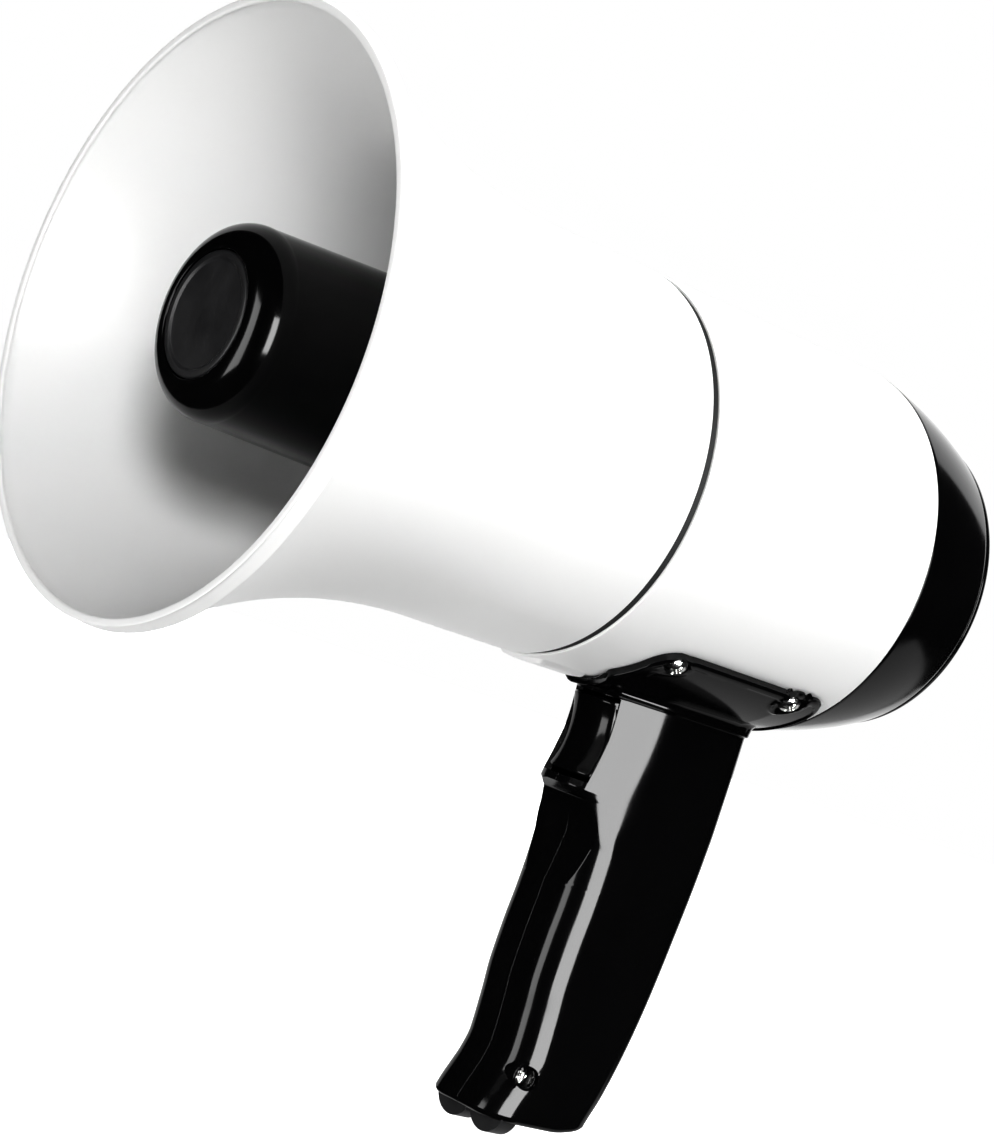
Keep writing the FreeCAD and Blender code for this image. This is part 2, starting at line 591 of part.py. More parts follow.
def grip_shells():
    saddle_inner = d.neck_radius + d.running_gap
    hug = turned("saddle_tube", [
        (d.saddle_front - 2, saddle_inner), (d.saddle_rear, saddle_inner), (d.saddle_rear, saddle_inner + 0.4),
        (d.saddle_rear - 12.5, d.neck_radius + d.saddle_wall),
        (d.saddle_front - 2, d.neck_radius + d.saddle_wall)])
    wide, front, rear = d.saddle_half_width, d.saddle_front, d.saddle_rear
    corner, wing = 7.0, 20.0
    bulge = corner * (1 - math.sqrt(0.5))
    plan = prism("saddle_plan", "XY_Plane", [
        (wide, front + 2 + corner), (wide - corner, front + 2, wide - bulge, front + 2 + bulge),
        (wing, front), (-wing, front, 0, d.saddle_notch), (-(wide - corner), front + 2),
        (-wide, front + 2 + corner, -(wide - bulge), front + 2 + bulge),
        (-wide, rear - corner), (-(wide - corner), rear, -(wide - bulge), rear - bulge),
        (wide - corner, rear), (wide, rear - corner, wide - bulge, rear - bulge)], -60, 35)
    outside = joined("grip_outside", common("saddle", hug, plan), grip_column())

    body_room = cylinder(saddle_inner, 90, (0, 130, 0), ALONG_Y, "body_room")
    pin_y, pin_z, reach = d.trigger_pin_y, d.trigger_pin_z, d.trigger_half_width
    window = block((reach * 2 + 0.8, 20, 23.0), (-reach - 0.4, 148, -78.2), "trigger_window")
    pin_hole = cylinder(d.trigger_pin_radius, 23, (-11.5, pin_y, pin_z), ALONG_X, "trigger_pin_hole")
    knuckle = d.knuckle_radius + d.moving_gap
    hinge_room = joined("hinge_room", cylinder(knuckle, 22.4, (-11.2, d.door_pin_y, d.door_pin_z), ALONG_X),
                        block((22.4, 9, 5.6), (-11.2, d.door_pin_y - 1.0, d.grip_foot - 0.6)))
    door_pin_hole = cylinder(d.door_pin_radius, 26.8, (-13.4, d.door_pin_y, d.door_pin_z), ALONG_X)
    screw_holes = []
    for angle, y in saddle_screw_places():
        seat = d.neck_radius + d.saddle_wall - 0.9
        screw_holes.append(cylinder(1.8, 12, saddle_point(angle, y, 60), radial(angle)))
        screw_holes.append(cylinder(3.6, 6, saddle_point(angle, y, seat + 6), radial(angle)))
    boss = cylinder(3.6, 25, (-12.5, 163.4, -156), ALONG_X, "screw_boss")
    recess = cylinder(3.2, 8, (9.8, 163.4, -156), ALONG_X, "screw_recess")
    pilot = cylinder(1.6, 24, (-10, 163.4, -156), ALONG_X, "screw_pilot")
    switch_wall = block((27.4, 2.0, 15), (-13.7, SWITCH_WALL, -76), "switch_wall")
    cheeks = joined("hinge_cheeks", *[block((2.4, 6, 7.4), (side, 184.4, d.grip_foot)) for side in (-13.7, 11.3)])
    cell_room = cylinder(d.cell_radius + 0.3, 70, (0, d.cell_y, d.grip_foot), ALONG_Z)
    bosses = common("bosses_inside", joined("bosses", boss, switch_wall), grip_inside_limit())
    filled = joined("grip_with_bosses", cut("grip_hollowed", outside, hollow()), bosses, cheeks)
    shell = cut("grip_shell", filled, body_room, window, pin_hole, hinge_room, door_pin_hole, recess, pilot,
                cell_room, *screw_holes)
    left = block((60, 90, 150), (0, 125, -180), "left_side")
    right = block((60, 90, 150), (-60, 125, -180), "right_side")
    finish(common("handle_left_shell", shell, left))
    finish(common("handle_right_shell", shell, right))


def grip_inside_limit():
    """The grip's smooth outside without its skin, which keeps inner bosses from showing."""
    stations = [(height, section(d.grip_half_width - 0.8, front + 0.8, rear - 0.8, 8.2, 7.2))
                for height, front, rear, _ in GRIP_STATIONS if height < -60]
    return loft("grip_inside_limit", stations)


def make_grip():
    grip_shells()
    group("saddle_screws", *[
        screw("saddle_screw", saddle_point(angle, y, d.neck_radius + d.saddle_wall - 0.9), radial(angle), length=9.5)
        for angle, y in saddle_screw_places()])
    finish(screw("handle_screw", (9.8, 163.4, -156), ALONG_X * FACING_BACK, head=2.9, head_height=2.0,
                 shank=1.55, length=18), "handle_screw")

    # trigger: a curved front plate on two cheeks, hung from its pin
    reach, pin_y, pin_z = d.trigger_half_width, d.trigger_pin_y, d.trigger_pin_z
    plate = prism("trigger_plate", "YZ_Plane", [
        (156.9, -56.2), (155.9, -76.2, 157.9, -66.0), (157.2, -77.2), (159.6, -77.2),
        (160.6, -70.0), (SPRING_SEAT, -67.4), (SPRING_SEAT, -57.2), (162.6, -56.2)], -reach, reach * 2)
    clear = cylinder(d.trigger_pin_radius + d.running_gap, 30, (-15, pin_y, pin_z), ALONG_X)
    rib = prism("trigger_rib", "YZ_Plane", [
        (158.6, -66.0), (168.6, -69.6), (168.6, -71.2), (158.4, -75.4)], -2.0, 4.0)
    finish(cut("trigger", joined("trigger_blank", plate, rib), clear))
    finish(turned("trigger_pin", tube(-11.4, 11.4, 0, d.trigger_pin_radius), (0, pin_y, pin_z), ALONG_X))
    trigger_spring()
    switch = joined("switch_blank", block((11.6, 5.0, 6.4), (-5.8, SWITCH_WALL - 5.0, -74.2)),
                    block((6.4, 1.2, 1.0), (-3.2, 170.4, -69.0)))
    finish(cut("trigger_switch", switch, block((2.9, 4.4, 1.9), (-1.45, 169.8, -71.5))), "trigger_switch")
    finish(block((2.4, 2.6, 1.4), (-1.2, 169.1, -71.25), "switch_plunger"), "switch_plunger")


SPRING_SEAT = 163.6         # the back of the trigger's plate
SWITCH_WALL = 176.2         # the front of the wall that holds the switch and stops the spring


def trigger_spring():
    """A compression spring between the trigger's plate and the switch wall, below the pin."""
    turns, coil_radius, wire = 6, 2.3, 0.35
    pitch = (SWITCH_WALL - SPRING_SEAT - 2 * wire) / turns
    path = Part.makeHelix(pitch, pitch * turns, coil_radius)
    start = Vector(coil_radius, 0, 0)
    profile = Part.Wire([Part.makeCircle(wire, start, Vector(0, 1, 0))])
    shape = Part.Wire(path.Edges).makePipeShell([profile], True, True)
    spring = doc.addObject("Part::Feature", "trigger_spring")
    spring.Shape = shape
    spring.Placement = Placement(Vector(6.0, SPRING_SEAT + wire, -64.5), Rotation(Vector(1, 0, 0), -90))
    finish(spring, "trigger_spring")


def make_power():
    y, foot = d.cell_y, d.cell_foot
    finish(turned("battery_cell", [
        (0.6, 0), (0.6, d.cell_radius - 1.2), (0, d.cell_radius - 0.8), (0, d.cell_radius - 0.4),
        (0.5, d.cell_radius), (d.cell_length - 1.5, d.cell_radius), (d.cell_length - 1, d.cell_radius - 0.5),
        (d.cell_length - 1, 4), (d.cell_length, 3.6), (d.cell_length, 0)], (0, y, foot), ALONG_Z))
    bore, open_foot = d.cell_radius + 0.3, foot + 14
    sleeve = joined("cell_sleeve", cylinder(bore + 1.4, 53.7, (0, y, open_foot), ALONG_Z),
                    block((26.0, 3, 52), (-13.0, y - 1.5, open_foot)))
    finish(cut("cell_holder", sleeve, cylinder(bore, 52.2, (0, y, open_foot), ALONG_Z),
               block((30, 5, 80), (-15, y - bore - 4, foot))))
    finish(turned("top_contact", [
        (d.cell_length + 0.1, 0), (d.cell_length + 0.1, 2.6), (d.cell_length + 0.8, 5.4),
        (d.cell_length + 1.2, 5.4), (d.cell_length + 1.2, 0)], (0, y, foot), ALONG_Z))

    # door: a plate hinged at the rear of the foot, with a pull tab of two lobes below its front
    pin_y, pin_z, foot_z = d.door_pin_y, d.door_pin_z, d.grip_foot
    plate = prism("door_plate", "XY_Plane", section(12.2, 159.2, pin_y - 4.6, 6.0, 2.0), foot_z, 2.2)
    neck = block((21.6, 6, 2.2), (-10.8, pin_y - 6, foot_z))
    knuckle = cylinder(d.knuckle_radius, 21.6, (-10.8, pin_y, pin_z), ALONG_X, "door_knuckle")
    stalk = block((22, 5.6, 3.4), (-11, 159.6, foot_z - 2.6))
    lobes = [cylinder(5.6, 5.0, (x, 160.0, foot_z - 0.4), ALONG_Y) for x in (-8.4, 8.4)]
    lobes = [common("lobe", joined("lobe_round", *lobes, block((28, 5.0, 3.0), (-14, 160.0, foot_z - 3.4))),
                    block((28.6, 8, 3.9), (-14.3, 158.6, foot_z - 4.3)))]
    bore_hole = cylinder(d.door_pin_radius + d.running_gap, 30, (-15, pin_y, pin_z), ALONG_X)
    finish(cut("battery_door", joined("door_blank", plate, neck, knuckle, stalk, *lobes), bore_hole))
    finish(turned("door_pin", tube(-13.3, 13.3, 0, d.door_pin_radius), (0, pin_y, pin_z), ALONG_X))
    finish(turned("door_contact", [
        (0, 0), (0, 6.5), (0.5, 6.5), (0.5, 5.2), (1.2, 4.2), (3.6, 3.2), (4.2, 2.2), (4.2, 0)],
        (0, y, foot_z + 2.2), ALONG_Z))


# ---------------------------------------------------------------- leads

def lead(label, radius, points):
    """A wire along straight runs joined by tangent arcs."""
    spots = [Vector(*point) for point in points]
    edges = []
    start = spots[0]
    for before, corner, after in zip(spots, spots[1:], spots[2:]):
        back, ahead = before - corner, after - corner
        trim = 0.45 * min(back.Length, ahead.Length)
        turn = math.pi - back.getAngle(ahead)
        bend = trim / math.tan(turn / 2)
        first = corner + back.normalize() * trim
        last = corner + ahead.normalize() * trim
        middle_way = ((first - corner) + (last - corner)).normalize()
        apex = corner + middle_way * (math.hypot(bend, trim) - bend)
        edges.append(Part.LineSegment(start, first).toShape())
        edges.append(Part.Arc(first, apex, last).toShape())
        start = last
    edges.append(Part.LineSegment(start, spots[-1]).toShape())
    path = Part.Wire(edges)
    profile = Part.Wire([Part.makeCircle(radius, spots[0], spots[1] - spots[0])])
    wire = doc.addObject("Part::Feature", label)
    wire.Shape = path.makePipeShell([profile], True, False)
    return finish(wire, label)


def make_leads():
    board = (d.board_rear - d.board_wall).number - 0.45
    lead("speaker_lead", 0.9, [
        (24, 152.2, 0), (24, 165, 0), (26, 178, -6), (22, 192, -10), (20, 202, -12), (20, board, -12)])
    lead("battery_lead", 1.1, [
        (3, 178, -93.7), (3, 178, -84), (2, 183, -72), (0, 184, -58), (-2, 184, -42), (-6, 190, -30),
        (-12, 200, -18), (-12, board, -14)])
    lead("switch_lead", 0.8, [
        (-6, 178.4, -70), (-6, 184, -68), (-4, 186, -58), (-4, 187, -44), (-8, 192, -36), (-16, 202, -26),
        (-16, board, -20)])


# ---------------------------------------------------------------- build, check and write

def check_document():
    failed = [thing.Label for thing in doc.Objects if {"Invalid", "Error"} & set(thing.State)]
    if failed:
        raise SystemExit(f"failed: {failed}")
    bad = [node.Label for node in nodes
           if node.Shape.isNull() or not node.Shape.isValid() or not node.Shape.Solids]
    if bad:
        raise SystemExit(f"no valid solid: {bad}")


make_horn()
make_body()
make_driver()
control_panel()
microphone()
volume_control()
switches()
electronics()
make_grip()
make_power()
make_leads()
doc.recompute()
check_document()
for node in nodes:
    node.Shape.exportStep(f"parts/{node.Label}.step")
    print(f"{node.Label}: {node.Shape.Volume / 1000:.2f} cm3, {len(node.Shape.Solids)} solids")
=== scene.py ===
"""The megaphone's visual model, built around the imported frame. Lengths in the shape code are millimetres."""
import json
import math

import bmesh
import bpy
import numpy as np
from mathutils import Matrix, Vector


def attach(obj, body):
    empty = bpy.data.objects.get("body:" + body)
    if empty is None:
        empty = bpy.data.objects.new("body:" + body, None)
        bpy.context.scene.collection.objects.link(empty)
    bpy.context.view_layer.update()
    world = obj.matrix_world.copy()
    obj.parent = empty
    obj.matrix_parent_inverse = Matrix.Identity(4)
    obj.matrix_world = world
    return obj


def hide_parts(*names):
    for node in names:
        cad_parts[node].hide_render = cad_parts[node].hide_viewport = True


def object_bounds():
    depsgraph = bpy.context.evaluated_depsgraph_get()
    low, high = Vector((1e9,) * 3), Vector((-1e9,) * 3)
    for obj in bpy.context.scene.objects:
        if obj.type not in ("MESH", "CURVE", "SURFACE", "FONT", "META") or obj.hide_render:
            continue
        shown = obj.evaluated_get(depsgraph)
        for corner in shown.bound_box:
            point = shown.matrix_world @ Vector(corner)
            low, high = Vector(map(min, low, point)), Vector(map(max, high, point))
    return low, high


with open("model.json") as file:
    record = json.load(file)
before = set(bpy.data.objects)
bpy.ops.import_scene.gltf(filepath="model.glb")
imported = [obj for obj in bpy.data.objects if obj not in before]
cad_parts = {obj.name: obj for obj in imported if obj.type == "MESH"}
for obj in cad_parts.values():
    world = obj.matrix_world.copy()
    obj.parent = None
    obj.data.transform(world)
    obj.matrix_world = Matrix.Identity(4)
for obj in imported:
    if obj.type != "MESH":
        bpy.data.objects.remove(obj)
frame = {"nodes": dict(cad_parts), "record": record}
cad_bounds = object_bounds()

MM = 0.001
NOISE_LOW, NOISE_HIGH = 0.3, 0.7      # most of a noise pattern lies between these values

# ---------------------------------------------------------------- materials


def new_material(name):
    material = bpy.data.materials.new(name)
    material.use_nodes = True
    tree = material.node_tree
    tree.nodes.clear()
    output = tree.nodes.new("ShaderNodeOutputMaterial")
    shader = tree.nodes.new("ShaderNodeBsdfPrincipled")
    tree.links.new(shader.outputs["BSDF"], output.inputs["Surface"])
    return material, tree, shader


def noise(tree, scale, detail=3.0, roughness=0.55, stretch=None):
    """Noise over the object's own metres; scale is in features per metre."""
    place = tree.nodes.new("ShaderNodeTexCoord")
    pattern = tree.nodes.new("ShaderNodeTexNoise")
    pattern.inputs["Scale"].default_value = scale
    pattern.inputs["Detail"].default_value = detail
    pattern.inputs["Roughness"].default_value = roughness
    source = place.outputs["Object"]
    if stretch:
        mapping = tree.nodes.new("ShaderNodeMapping")
        mapping.inputs["Scale"].default_value = stretch
        tree.links.new(source, mapping.inputs["Vector"])
        source = mapping.outputs["Vector"]
    tree.links.new(source, pattern.inputs["Vector"])
    return pattern.outputs["Fac"]


def spread(tree, value, low, high):
    """Maps the middle of a noise pattern's values onto low..high."""
    node = tree.nodes.new("ShaderNodeMapRange")
    node.inputs["From Min"].default_value = NOISE_LOW
    node.inputs["From Max"].default_value = NOISE_HIGH
    node.inputs["To Min"].default_value = low
    node.inputs["To Max"].default_value = high
    tree.links.new(value, node.inputs["Value"])
    return node.outputs["Result"]


def two_tone(tree, value, first, second):
    """Blends two colours by a noise pattern."""
    ramp = tree.nodes.new("ShaderNodeValToRGB")
    ramp.color_ramp.elements[0].position = NOISE_LOW
    ramp.color_ramp.elements[0].color = (*first, 1)
    ramp.color_ramp.elements[1].position = NOISE_HIGH
    ramp.color_ramp.elements[1].color = (*second, 1)
    tree.links.new(value, ramp.inputs["Fac"])
    return ramp.outputs["Color"]


def bumps(tree, *layers):
    """Stacks bump layers of (height value, distance in metres, strength)."""
    normal = None
    for value, distance, strength in layers:
        bump = tree.nodes.new("ShaderNodeBump")
        bump.inputs["Distance"].default_value = distance
        bump.inputs["Strength"].default_value = strength
        tree.links.new(value, bump.inputs["Height"])
        if normal is not None:
            tree.links.new(normal, bump.inputs["Normal"])
        normal = bump.outputs["Normal"]
    return normal


def moulded(name, color, variation, rough, grain=2600, grain_depth=4e-6, wave_depth=4e-5, specular=0.5):
    """Moulded plastic: slow colour drift, fingered gloss, a slow sink of the wall and a fine grain."""
    material, tree, shader = new_material(name)
    darker = tuple(max(0.0, c - variation) for c in color)
    tree.links.new(two_tone(tree, noise(tree, 38, 5), darker, color), shader.inputs["Base Color"])
    tree.links.new(spread(tree, noise(tree, 95, 6, 0.65), rough[0], rough[1]), shader.inputs["Roughness"])
    normal = bumps(tree, (noise(tree, 30, 2), wave_depth, 0.35), (noise(tree, grain, 2), grain_depth, 0.6))
    tree.links.new(normal, shader.inputs["Normal"])
    shader.inputs["Specular IOR Level"].default_value = specular
    return material


def metal(name, color, rough, scratch=(1, 1, 1), scale=900, depth=6e-6):
    """Plated or drawn metal, with fine marks that can run along one axis."""
    material, tree, shader = new_material(name)
    shader.inputs["Metallic"].default_value = 1.0
    dark = tuple(c * 0.82 for c in color)
    tree.links.new(two_tone(tree, noise(tree, 420, 4), dark, color), shader.inputs["Base Color"])
    marks = noise(tree, scale, 4, 0.6, scratch)
    tree.links.new(spread(tree, marks, rough[0], rough[1]), shader.inputs["Roughness"])
    tree.links.new(bumps(tree, (marks, depth, 0.5)), shader.inputs["Normal"])
    return material


MATERIALS = {
    "white_shell": moulded(
        "white_abs", (0.87, 0.87, 0.865), 0.003, (0.36, 0.42), 2400, 1.0e-6, 1.0e-5, 0.16),
    "black_gloss": moulded(
        "black_gloss_abs", (0.0030, 0.0030, 0.0032), 0.001, (0.09, 0.15), 3000, 1.0e-6, 2.5e-5, 0.24),
    "black_satin": moulded(
        "black_satin_abs", (0.016, 0.016, 0.017), 0.005, (0.34, 0.48), 2100, 2.4e-5, 2e-5),
    "seal_rubber": moulded(
        "black_elastomer", (0.018, 0.018, 0.018), 0.006, (0.52, 0.66), 1500, 1.5e-5, 2e-5, 0.3),
    "foam": moulded("grey_foam", (0.055, 0.055, 0.055), 0.035, (0.86, 0.97), 1300, 2.2e-4, 5e-5, 0.1),
    "screw_steel": metal("nickel_plate", (0.80, 0.80, 0.79), (0.12, 0.26)),
    "spring_steel": metal("drawn_steel", (0.55, 0.56, 0.58), (0.2, 0.36), (1, 0.12, 1)),
    "driver_plastic": moulded("phenolic", (0.075, 0.075, 0.08), 0.02, (0.4, 0.55), 1800, 1.5e-5),
    "diaphragm_film": moulded("resin_film", (0.50, 0.31, 0.11), 0.05, (0.2, 0.32), 1200, 6e-6),
    "copper": metal("copper_winding", (0.72, 0.35, 0.16), (0.22, 0.36), (1, 6, 1), 1600, 1.5e-5),
    "ferrite": moulded("ferrite_block", (0.06, 0.06, 0.065), 0.02, (0.5, 0.7), 1500, 2e-5),
    "mic_can": metal("aluminium_can", (0.70, 0.71, 0.72), (0.25, 0.4)),
    "circuit_board": moulded("solder_mask", (0.03, 0.19, 0.07), 0.012, (0.26, 0.36), 2600, 6e-6),
    "capacitor_sleeve": moulded("sleeve_film", (0.04, 0.05, 0.16), 0.015, (0.18, 0.28)),
    "red_button": moulded("red_abs", (0.58, 0.026, 0.018), 0.05, (0.2, 0.32), 2400, 6e-6),
    "grey_button": moulded("grey_abs", (0.33, 0.33, 0.34), 0.03, (0.24, 0.36), 2400, 8e-6),
    "lamp_lens": moulded("lamp_lens", (0.46, 0.04, 0.025), 0.05, (0.08, 0.14), 1500, 2e-6),
    "cell_wrap": moulded("cell_sleeve", (0.10, 0.27, 0.44), 0.03, (0.2, 0.3)),
    "lead_jacket": moulded("lead_jacket", (0.045, 0.045, 0.045), 0.012, (0.4, 0.55), 1600, 1e-5),
}

for row in frame["record"]["subparts"]:
    node = frame["nodes"].get(row["node"])
    if node is not None:
        if not node.material_slots:
            node.data.materials.append(None)
        for place in node.material_slots:
            place.link = "OBJECT"
            place.material = MATERIALS[row["material_slot"]]

# ---------------------------------------------------------------- mesh helpers


def make_object(name, vertices, faces, slot, body="housing", stands_for=()):
    """A mesh piece from points in millimetres, with its material, slot and body."""
    mesh = bpy.data.meshes.new(name)
    mesh.from_pydata([tuple(c * MM for c in vertex) for vertex in vertices], [], faces)
    work = bmesh.new()
    work.from_mesh(mesh)
    bmesh.ops.remove_doubles(work, verts=work.verts, dist=1e-7)
    bmesh.ops.recalc_face_normals(work, faces=work.faces)
    work.to_mesh(mesh)
    work.free()
    mesh.polygons.foreach_set("use_smooth", [True] * len(mesh.polygons))
    piece = bpy.data.objects.new(name, mesh)
    bpy.context.scene.collection.objects.link(piece)
    mesh.materials.append(MATERIALS[slot])
    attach(piece, body)
    if stands_for:
        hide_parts(*stands_for)
    return piece


def weighted(piece):
    modifier = piece.modifiers.new("weighted_normals", "WEIGHTED_NORMAL")
    modifier.keep_sharp = True
    modifier.weight = 60
    return piece


def bevelled(piece, width):
    modifier = piece.modifiers.new("edges", "BEVEL")
    modifier.width = width * MM
    modifier.segments = 3
    modifier.limit_method = "ANGLE"
    modifier.angle_limit = math.radians(30)
    return weighted(piece)


def smoothstep(value, low, high):
    t = min(1.0, max(0.0, (value - low) / (high - low)))
    return t * t * (3 - 2 * t)


def arc(first, via, last, count=24):
    """Points on the circle through three points, first and last included."""
    (x1, y1), (x2, y2), (x3, y3) = first, via, last
    d = 2 * (x1 * (y2 - y3) + x2 * (y3 - y1) + x3 * (y1 - y2))
    ux = ((x1**2 + y1**2) * (y2 - y3) + (x2**2 + y2**2) * (y3 - y1) + (x3**2 + y3**2) * (y1 - y2)) / d
    uy = ((x1**2 + y1**2) * (x3 - x2) + (x2**2 + y2**2) * (x1 - x3) + (x3**2 + y3**2) * (x2 - x1)) / d
    radius = math.hypot(x1 - ux, y1 - uy)
    angles = [math.atan2(y - uy, x - ux) for x, y in (first, via, last)]
    turn = (angles[2] - angles[0]) % (2 * math.pi)
    if (angles[1] - angles[0]) % (2 * math.pi) > turn:
        turn -= 2 * math.pi
    steps = [angles[0] + turn * i / count for i in range(count + 1)]
    return [(ux + radius * math.cos(step), uy + radius * math.sin(step)) for step in steps]


def rounded(points, radius, steps=5):
    """Rounds each corner of a closed outline. A point may carry its own radius as a third number."""
    result = []
    count = len(points)
    for index, point in enumerate(points):
        before, after = Vector(points[index - 1][:2]), Vector(points[(index + 1) % count][:2])
        corner = Vector(point[:2])
        size = point[2] if len(point) > 2 else radius
        back, ahead = before - corner, after - corner
        if size <= 0 or back.length < 1e-6 or ahead.length < 1e-6:
            result.append(tuple(corner))
            continue
        angle = back.angle(ahead, math.pi)
        if not math.radians(4) <= angle <= math.radians(172):       # nearly straight, or folded back
            result.append(tuple(corner))
            continue
        trim = min(size / math.tan(angle / 2), back.length * 0.48, ahead.length * 0.48)
        start, end = corner + back.normalized() * trim, corner + ahead.normalized() * trim
        for step in range(steps + 1):
            t = step / steps
            result.append(tuple(start * (1 - t) ** 2 + corner * 2 * t * (1 - t) + end * t ** 2))
    return result


def clean(piece):
    """Removes the slivers that a turned outline leaves on its axis."""
    work = bmesh.new()
    work.from_mesh(piece.data)
    bmesh.ops.remove_doubles(work, verts=work.verts, dist=2e-6)
    bmesh.ops.dissolve_degenerate(work, edges=work.edges, dist=1e-7)
    loose = [edge for edge in work.edges if not edge.link_faces]
    bmesh.ops.delete(work, geom=loose, context="EDGES")
    bmesh.ops.recalc_face_normals(work, faces=work.faces)
    work.to_mesh(piece.data)
    work.free()
    return piece


def turned(name, outline, slot, body, stands_for, segments, place):
    """Turns a closed outline of (level, radius); place says where a turned point goes."""
    vertices, faces, count = [], [], len(outline)
    for index in range(segments):
        turn = 2 * math.pi * index / segments
        vertices += [place(level, r * math.cos(turn), r * math.sin(turn)) for level, r in outline]
        here, there = index * count, ((index + 1) % segments) * count
        faces += [(here + p, here + (p + 1) % count, there + (p + 1) % count, there + p) for p in range(count)]
    return clean(make_object(name, vertices, faces, slot, body, stands_for))


def lathe(name, profile, slot, stands_for, segments=192):
    """Turns a closed outline of (y, radius) about the line of the horn."""
    return weighted(turned(name, profile, slot, "housing", stands_for, segments, lambda y, a, b: (a, y, b)))


def turned_about_x(name, outline, y, z, slot, body):
    """Turns a closed outline of (x, radius) about a line along X."""
    return turned(name, outline, slot, body, (), 64, lambda x, a, b: (x, y + a, z + b))


def extruded(name, outline, along, start, end, slot, body):
    """Pushes a closed outline along an axis. The outline is in the two other axes, in XYZ order."""
    def place(pair, level):
        spot = list(pair)
        spot.insert("xyz".index(along), level)
        return tuple(spot)

    count = len(outline)
    vertices = [place(pair, start) for pair in outline] + [place(pair, end) for pair in outline]
    faces = [tuple(range(count)), tuple(range(2 * count - 1, count - 1, -1))]
    faces += [(i, (i + 1) % count, count + (i + 1) % count, count + i) for i in range(count)]
    return make_object(name, vertices, faces, slot, body)


def merged(name, pieces):
    """Joins several pieces' meshes into the first one."""
    first = pieces[0]
    work = bmesh.new()
    for piece in pieces:
        work.from_mesh(piece.data)
    work.to_mesh(first.data)
    work.free()
    for piece in pieces[1:]:
        bpy.data.objects.remove(piece)
    first.name = name
    first.data.polygons.foreach_set("use_smooth", [True] * len(first.data.polygons))
    return first


# ---------------------------------------------------------------- horn and bullet

NECK = 52.1                             # radius of the bell's neck and of the body
BELL_END, BODY_START, BODY_END = 122.2, 124.5, 207.5

inner_flare = arc((0.4, 74.9), (46.0, 55.68), (92.0, 49.7), 48)
outer_flare = arc((92.0, NECK), (46.0, 57.78), (6.2, 74.75), 48)
bell_outline = (
    rounded([(-1.0, 77.5, 0.9), (-1.0, 75.0, 0.9), (3.0, 74.0, 0)], 0.9, 6)[:-1]
    + inner_flare + [(112.0, 49.7), (112.0, 14.0), (115.0, 14.0), (115.0, 49.7)]
    + [(121.9, 49.7), (BELL_END, 50.0), (BELL_END, NECK - 0.35), (BELL_END - 0.1, NECK - 0.1),
       (BELL_END - 0.35, NECK)]
    + outer_flare + [(5.0, 75.35), (4.35, 76.2), (4.05, 76.9), (3.6, 77.35), (3.0, 77.5)])
lathe("horn_bell_visual", bell_outline, "white_shell", ("horn_bell",), 256)

NOSE = 5.0                              # where the bullet starts
bullet_nose = arc((NOSE, 16.7), (NOSE + 2.35, 22.15), (NOSE + 9, 24.4), 20)
bullet_outline = (
    [(NOSE + 1.2, 0.0), (NOSE + 1.2, 15.9), (NOSE + 1.0, 16.1), (NOSE + 0.25, 16.1), (NOSE + 0.05, 16.3)]
    + bullet_nose + [(NOSE + 45, 25.3), (87.4, 25.98), (87.9, 25.7), (88.0, 25.2), (88.0, 24.3), (87.0, 24.2),
                     (NOSE + 11, 22.6)]
    + arc((NOSE + 11, 22.6), (NOSE + 5.4, 20.7), (NOSE + 4, 17.1), 10) + [(NOSE + 4, 8.0), (NOSE + 14, 0.0)])
lathe("reflector_bullet_visual", bullet_outline, "black_gloss", ("reflector_bullet",))
badge_outline = [(NOSE + 0.55, 0.0), (NOSE + 0.55, 13.2), (NOSE + 0.45, 13.6), (NOSE + 0.12, 13.9),
                 (NOSE + 0.05, 14.2), (NOSE + 0.1, 15.3), (NOSE + 0.3, 15.7), (NOSE + 0.6, 15.8),
                 (NOSE + 1.2, 15.8), (NOSE + 1.2, 0.0)]
lathe("bullet_badge_visual", badge_outline, "black_satin", ("bullet_badge",))

# ---------------------------------------------------------------- body, seam and rear cap

seam = rounded([(BELL_END - 2.8, 47.6), (BODY_START + 2.8, 47.6), (BODY_START + 2.8, 49.4),
                (BODY_START - 0.1, 49.4), (BODY_START - 0.1, NECK - 0.55), (BELL_END + 0.1, NECK - 0.55),
                (BELL_END + 0.1, 49.4), (BELL_END - 2.8, 49.4)], 0.15, 3)
lathe("seam_ring_visual", seam, "seal_rubber", ("seam_ring",))
PAD_HALF, PAD_START, PAD_END, PAD_RISE, PAD_EASE = 9.0, 127.5, 144.5, 1.2, 1.2
BODY_TAPER = 0.3                        # how much smaller the radius is at the rear
outer_line = [(y, NECK - BODY_TAPER * (y - BODY_START) / (BODY_END - BODY_START))
              for y in np.arange(125.5, 147.5, 0.4)]
shell = (
    [(BODY_START + 0.2, 49.6), (BODY_START, 49.8), (BODY_START, NECK - 0.35), (BODY_START + 0.1, NECK - 0.1),
     (BODY_START + 0.35, NECK)]
    + outer_line
    + [(BODY_END - 0.35, 51.8), (BODY_END - 0.1, 51.7), (BODY_END, 51.45), (BODY_END, 49.8),
       (BODY_END - 0.2, 49.6)])
body_shell = lathe("body_shell_visual", shell, "white_shell", ("body_shell",), 480)
